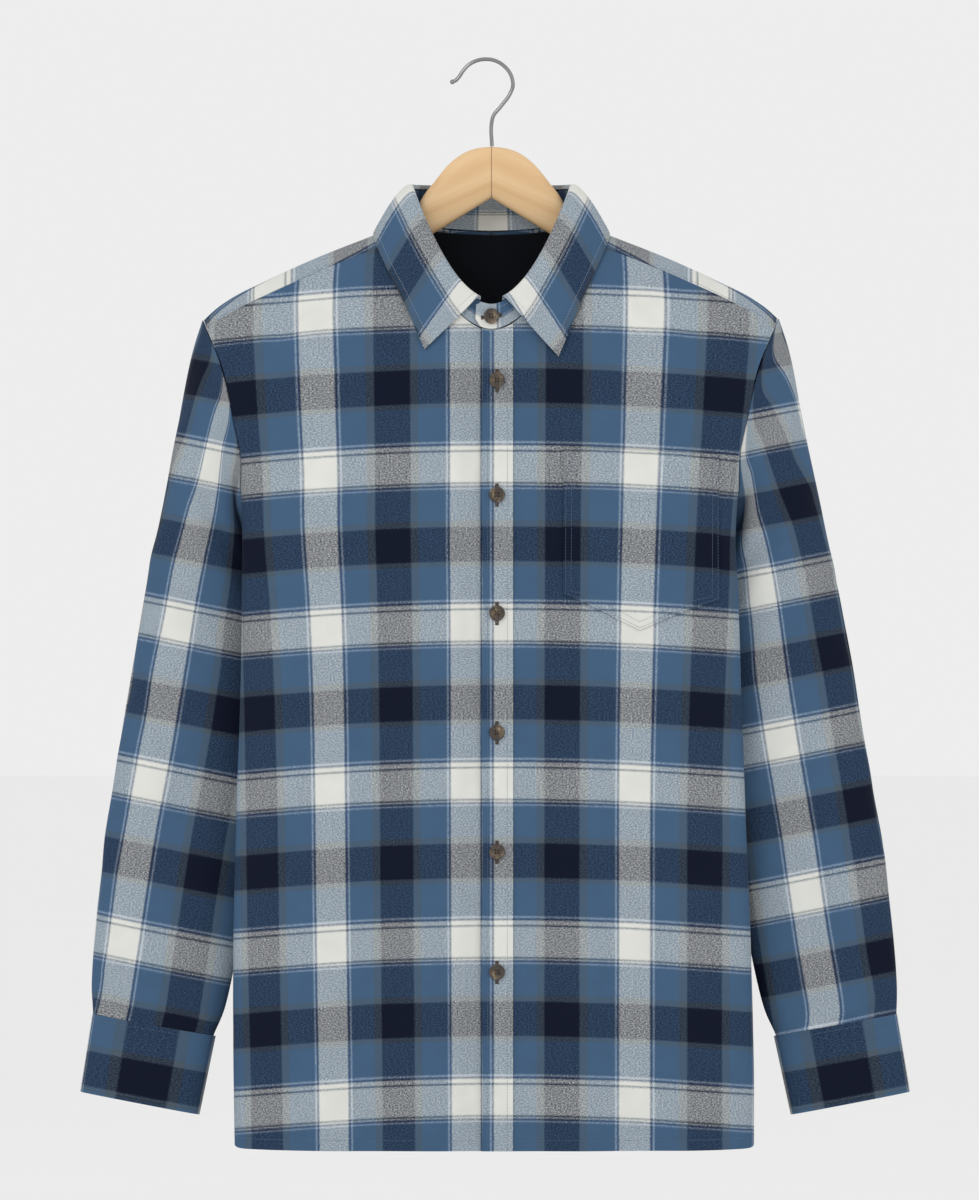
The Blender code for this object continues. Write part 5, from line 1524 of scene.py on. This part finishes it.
def button_mesh(name, place, axis, replaces, turn=0.0):
    """A horn disc: a rounded rim round a dished face with four pits for the thread.

    Its face's height is that of the dish less a bell curve at each hole.
    """
    across, up, axis = facing(axis)
    radius, thick = BUTTON_DIAMETER / 2, BUTTON_THICKNESS
    sides = 72
    angle = np.arange(sides) * 2 * math.pi / sides + turn
    face_r = np.linspace(0.02, radius - 2.1, 26)
    rim_r = np.array([
        radius - 1.9, radius - 1.6, radius - 1.25, radius - 0.9, radius - 0.5, radius - 0.2, radius - 0.03,
        radius, radius - 0.1, radius - 0.35, radius - 0.8, 0.4 * radius, 0.02,
    ])
    rim_h = np.array([-0.62, -0.34, -0.1, 0.0, -0.06, -0.28, -0.62, -1.1, -1.7, -2.2, -2.55, -2.6, -2.6]) + thick
    r = np.concatenate([face_r, rim_r])
    dish = thick - 0.72 - 0.10 * (1 - (face_r / face_r[-1]) ** 2)
    h = np.concatenate([dish, rim_h])
    x, y = r[None] * np.cos(angle)[:, None], r[None] * np.sin(angle)[:, None]
    away = np.stack([(x - cx) ** 2 + (y - cy) ** 2 for cx, cy in HOLES])
    pit = np.exp(-(away.min(axis=0) / 0.62**2) ** 2)
    height = h[None] - np.where(np.arange(len(r)) < len(face_r), 1.0, 0.0)[None] * 1.15 * pit
    points = np.array(place) + across * x[..., None] + up * y[..., None] + axis * height[..., None]
    count = len(r)
    index = np.arange(sides * count).reshape(sides, count)
    wrap = np.concatenate([index, index[:1]])
    faces = np.stack([wrap[:-1, :-1], wrap[:-1, 1:], wrap[1:, 1:], wrap[1:, :-1]], axis=-1).reshape(-1, 4).tolist()
    faces += [tuple(index[::-1, 0].tolist()), tuple(index[:, -1].tolist())]
    points = points.reshape(-1, 3)
    mesh = put(name, points, faces, HORN_RESIN, smooth_angle=60)
    return dressed(face_out(mesh), replaces)


def face_out(obj):
    """Turns a closed mesh's faces outwards."""
    shape = bmesh.new()
    shape.from_mesh(obj.data)
    bmesh.ops.recalc_face_normals(shape, faces=shape.faces)
    shape.to_mesh(obj.data)
    shape.free()
    return obj


def swept(path, radius, sides=8, closed=False):
    """Points and faces of a round bar along a path; each ring is square to the path, and open ends are capped."""
    path = np.asarray(path, float)
    if closed:
        ahead = np.roll(path, -1, axis=0) - np.roll(path, 1, axis=0)
    else:
        ahead = np.gradient(path, axis=0)
    ahead = unit(ahead)
    guide = np.array([0.0, 1.0, 0.0]) if np.abs(ahead[:, 1]).mean() < 0.7 else np.array([1.0, 0.0, 0.0])
    side = unit(np.cross(ahead, guide))
    up = np.cross(side, ahead)
    angle = np.arange(sides) * 2 * math.pi / sides
    radius = np.broadcast_to(radius, len(path))[:, None, None]
    wheel = np.cos(angle)[None, :, None] * side[:, None] + np.sin(angle)[None, :, None] * up[:, None]
    ring = path[:, None] + radius * wheel
    index = np.arange(len(path) * sides).reshape(len(path), sides)
    rows = np.concatenate([index, index[:1]]) if closed else index
    after = np.roll(rows, -1, axis=1)
    faces = np.stack([rows[:-1], after[:-1], after[1:], rows[1:]], axis=-1).reshape(-1, 4).tolist()
    if not closed:
        faces += [tuple(index[0, ::-1].tolist()), tuple(index[-1].tolist())]
    return ring.reshape(-1, 3), faces


def joined(parts):
    points, faces, start = [], [], 0
    for p, f in parts:
        points.append(p)
        faces += [tuple(i + start for i in face) for face in f]
        start += len(p)
    return np.concatenate(points), faces


def button_thread(place, axis):
    """Two bundles of thread that cross between the four holes, each an arch between opposite holes."""
    across, up, axis = facing(axis)
    parts = []
    t = np.linspace(-1, 1, 9)
    for first, second in ((0, 2), (1, 3)):
        a, b = HOLES[first], HOLES[second]
        for aside in (-0.22, 0.0, 0.22):
            flat = (a + b)[None] / 2 + (a - b)[None] / 2 * t[:, None] * 0.92
            lean = unit(np.array([-(a - b)[1], (a - b)[0]])[None])[0] * aside
            flat = flat + lean * (1 - 0.3 * t[:, None] ** 2)
            height = BUTTON_THICKNESS - 0.55 + 0.18 * (1 - t**4) + (0.16 if first else 0.0) * (1 - t**2) - 0.75 * t**12
            path = np.array(place) + across * flat[:, :1] + up * flat[:, 1:] + axis * height[:, None]
            parts.append(swept(path, 0.17, 6))
    return parts


def buttonhole(place, axis, length, along=(0.0, 0.0, 1.0), width=3.0):
    """Satin stitched edge of a buttonhole: a bar bent into a long ring, rippled by its stitches, with a bar at each end."""
    axis = np.array(axis, float) / np.linalg.norm(axis)
    up = np.array(along, float)
    up = unit((up - axis * (up @ axis))[None])[0]
    across = np.cross(up, axis)
    turn = np.linspace(0, 2 * math.pi, 240, endpoint=False)
    c, s = np.cos(turn), np.sin(turn)
    radius = (np.abs(c) ** 5 + np.abs(s) ** 5) ** (-0.2)
    x, z = c * radius * (width - 1.1) / 2, s * radius * (length - 1.1) / 2
    ripple = 0.62 + 0.07 * np.cos(turn * 56)
    path = np.array(place) + across * x[:, None] + up * z[:, None]
    parts = [flat_bar(path, ripple, axis, closed=True)]
    for end in (-1, 1):
        bar = np.array(place) + across * np.linspace(-width / 2, width / 2, 14)[:, None] + up * end * (length / 2 - 0.3)
        parts.append(flat_bar(bar, 0.6 + 0.05 * np.cos(np.arange(14) * 2.6), axis))
    return parts


def flat_bar(path, radius, axis, closed=False):
    """A round bar pressed to half its height along axis."""
    points, faces = swept(path, radius, 8, closed)
    rings = points.reshape(-1, 8, 3)
    offset = rings - np.asarray(path)[:, None]
    high = (offset @ axis)[..., None] * axis
    return (rings - high * 0.55).reshape(-1, 3), faces


def make_buttons():
    thread, holes = [], []
    seat = LAYER + CLOTH / 2 + 0.75
    for count, height in enumerate(BUTTON_HEIGHTS, 1):
        points, normals = on_front(np.array([[BUTTON_X - 0.5, BUTTON_X, BUTTON_X + 0.5]]).T.repeat(3, 1),
                                   height + np.array([[-0.5, 0.0, 0.5]]).repeat(3, 0))
        place, axis = points[1, 1] + normals[1, 1] * seat, normals[1, 1]
        button_mesh(f"button_horn_front_{count}", place, axis, f"button_front_{count}", 0.4 * count)
        thread += button_thread(place, axis)
        holes += buttonhole(points[1, 1] + normals[1, 1] * (LAYER + CLOTH / 2 + 0.65) - (0, 0, 0.4), axis, 18.5)
    turn = np.array([1 - math.asin(COLLAR_BUTTON[0] * 2 / NECK_WIDTH) / math.pi])
    grid = stand_points(turn + np.array([-0.01, 0.0, 0.01]), np.array([0.4, 0.5, 0.6]))
    axis = unit(np.cross(grid[2, 1] - grid[0, 1], grid[1, 2] - grid[1, 0]))
    axis = axis if axis[1] < 0 else -axis
    place = grid[1, 1] + axis * (CLOTH / 2 + 0.4)
    button_mesh("button_horn_collar", place, axis, "button_collar", 0.9)
    thread += button_thread(place, axis)
    holes += buttonhole(grid[1, 1] + axis * (CLOTH / 2 + 0.1), axis, 17.0, along=(1.0, 0.0, 0.15))
    for name, side in (("button_cuff_right", -1), ("button_cuff_left", 1)):
        middle = (np.array(CUFF_TOP) + np.array(CUFF_HEM)) / 2
        swing = middle[5] if side > 0 else 0.0
        spot = oval(side, middle[0] + swing, middle[1], middle[2] + swing, middle[3], middle[4],
                    np.array([(CUFF_OPENING - 0.035) * 2 * math.pi]))[0, 0]
        axis = np.array([0.0, 1.0, 0.0])
        place = spot + axis * (LAYER + 0.5 + CLOTH / 2 + 1.1)
        button_mesh(f"button_horn_{name[7:]}", place, axis, name, 0.2)
        thread += button_thread(place, axis)
        holes += buttonhole(place - axis * 0.9, axis, 16.5, along=(1.0, 0.0, 0.0))
    points, faces = joined(thread)
    dressed(put("thread_buttons", points, faces, THREAD_BROWN))
    points, faces = joined(holes)
    dressed(put("buttonholes", points, faces, THREAD_BROWN))


# ----------------------------------------------------------------------
# Hanger and hook


def make_hanger():
    """Two flat wooden arms that meet in the middle: squared ovals between the top and bottom lines, with a fine groove
    at the joint."""
    table = np.array(HANGER)
    fine = np.concatenate([
        [0.0, 0.25, 0.5, 0.9], np.arange(2.0, 100, 2.0), np.arange(100, 218, 4.0), np.linspace(218, 227.5, 12),
    ])
    x = np.concatenate([-fine[::-1], fine[1:]])
    value = {name: smooth(np.abs(x), table[:, 0], table[:, k]) for k, name in enumerate(HANGER_COLUMNS)}
    top, bottom = hanger_top(x, value["top"]), value["bottom"]
    half, middle = (top - bottom) / 2, (top + bottom) / 2
    close = np.sqrt(np.clip(1 - (np.maximum(np.abs(x) - 216.5, 0) / 11.3) ** 2, 0.01, 1))
    groove = 1 - 0.05 * np.exp(-((x / 0.45) ** 2))
    turns = np.arange(56) * 2 * math.pi / 56
    c, s = np.cos(turns), np.sin(turns)
    radius = (np.abs(c) ** 2.5 + np.abs(s) ** 2.5) ** (-0.4)
    z = middle[:, None] + (half * close)[:, None] * (s * radius)[None]
    y = (value["half_thickness"] * close * groove)[:, None] * (c * radius)[None]
    rings = np.stack([np.broadcast_to(x[:, None], y.shape), y, z], axis=-1)
    index = np.arange(y.size).reshape(y.shape)
    after = np.roll(index, -1, axis=1)
    faces = np.stack([index[:-1], after[:-1], after[1:], index[1:]], axis=-1).reshape(-1, 4).tolist()
    faces += [tuple(index[0, ::-1].tolist()), tuple(index[-1].tolist())]
    hanger = put("wooden_hanger", rings.reshape(-1, 3), faces, BLOND_WOOD)
    return dressed(face_out(hanger), "hanger")


def make_hook():
    """Wire bent along the hook's route, with a small ball at its tip."""
    route = np.array(HOOK_ROUTE)
    knots = run_length(route)
    at = np.linspace(0, knots[-1], 180)
    path = np.stack([smooth(at, knots, route[:, 0]), 0 * at, smooth(at, knots, route[:, 1])], axis=1)
    wire = swept(path, HOOK_WIRE / 2, 20)
    around, down = np.linspace(0, 2 * math.pi, 24, endpoint=False), np.linspace(0.06, math.pi - 0.06, 14)
    turn, lean = np.meshgrid(around, down, indexing="ij")
    ball = path[-1] + 2.0 * np.stack([np.cos(turn) * np.sin(lean), np.sin(turn) * np.sin(lean), np.cos(lean)], axis=-1)
    index = np.arange(turn.size).reshape(turn.shape)
    wrap = np.concatenate([index, index[:1]])
    faces = np.stack([wrap[:-1, :-1], wrap[:-1, 1:], wrap[1:, 1:], wrap[1:, :-1]], axis=-1).reshape(-1, 4).tolist()
    faces += [tuple(index[::-1, 0].tolist()), tuple(index[:, -1].tolist())]
    parts = [wire, (ball.reshape(-1, 3), faces)]
    points, faces = joined(parts)
    hook = put("wire_hook", points, faces, PLATED_WIRE)
    return dressed(face_out(hook), "hanger_hook")


# ----------------------------------------------------------------------
# Floor, light and camera


def make_stage():
    """A flat pale floor, wide enough to fill the frame from any side."""
    reach, height = 40000.0, -1050.0
    points = np.array([[-reach, -reach, height], [reach, -reach, height], [reach, reach, height],
                       [-reach, reach, height]])
    material, s, shader = surface("pale floor", 0.9)
    grain = s.noise(s.add("ShaderNodeTexCoord").outputs["Object"], 3.0, 2.0)
    s.tree.links.new(s.mix(grain, (0.95, 0.95, 0.95), (0.97, 0.97, 0.97)), shader.inputs["Base Color"])
    floor = put("floor", points, np.array([[0, 1, 2, 3]]), material)


def light(name, place, target, size, power):
    lamp = bpy.data.lights.new(name, "AREA")
    lamp.shape, lamp.size, lamp.energy = "DISK", size, power
    obj = bpy.data.objects.new(name, lamp)
    obj.location = place
    obj.rotation_euler = (Vector(target) - Vector(place)).to_track_quat("-Z", "Y").to_euler()
    bpy.context.scene.collection.objects.link(obj)


def make_lights():
    light("key", (-1.3, -3.0, 1.2), (0, 0, -0.45), 1.3, 20)
    light("fill", (1.9, -3.0, 0.6), (0, 0, -0.45), 1.8, 6)
    world = bpy.data.worlds.new("studio")
    world.use_nodes = True
    world.node_tree.nodes["Background"].inputs[0].default_value = (1.0, 1.0, 1.0, 1.0)
    world.node_tree.nodes["Background"].inputs[1].default_value = 0.85
    bpy.context.scene.world = world


def make_camera():
    lens = bpy.data.cameras.new("camera")
    lens.sensor_fit, lens.sensor_height, lens.lens = "VERTICAL", 36.0, 435.5
    lens.clip_end = 50.0
    camera = bpy.data.objects.new("camera", lens)
    camera.location = (-0.00165, -12.0, -0.444)
    camera.rotation_euler = (math.pi / 2, 0.0, 0.0)
    bpy.context.scene.collection.objects.link(camera)
    bpy.context.scene.camera = camera
    bpy.context.scene.view_settings.view_transform = "Standard"


# ----------------------------------------------------------------------

make_camera()
make_stage()
make_lights()
fronts = make_fronts()
back = make_back()
yoke = make_yoke()
lining = make_yoke_lining()
placket = make_placket()
pocket = make_pocket()
sleeves = [make_sleeve("sleeve_right", -1), make_sleeve("sleeve_left", 1)]
cuffs = [make_cuff("cuff_right", -1), make_cuff("cuff_left", 1)]
stand = make_stand()
collar = make_collar()
make_buttons()
make_hanger()
make_hook()
sew_front()
sew_pocket()
sew_collar()
sew_back()
sew_cuffs()
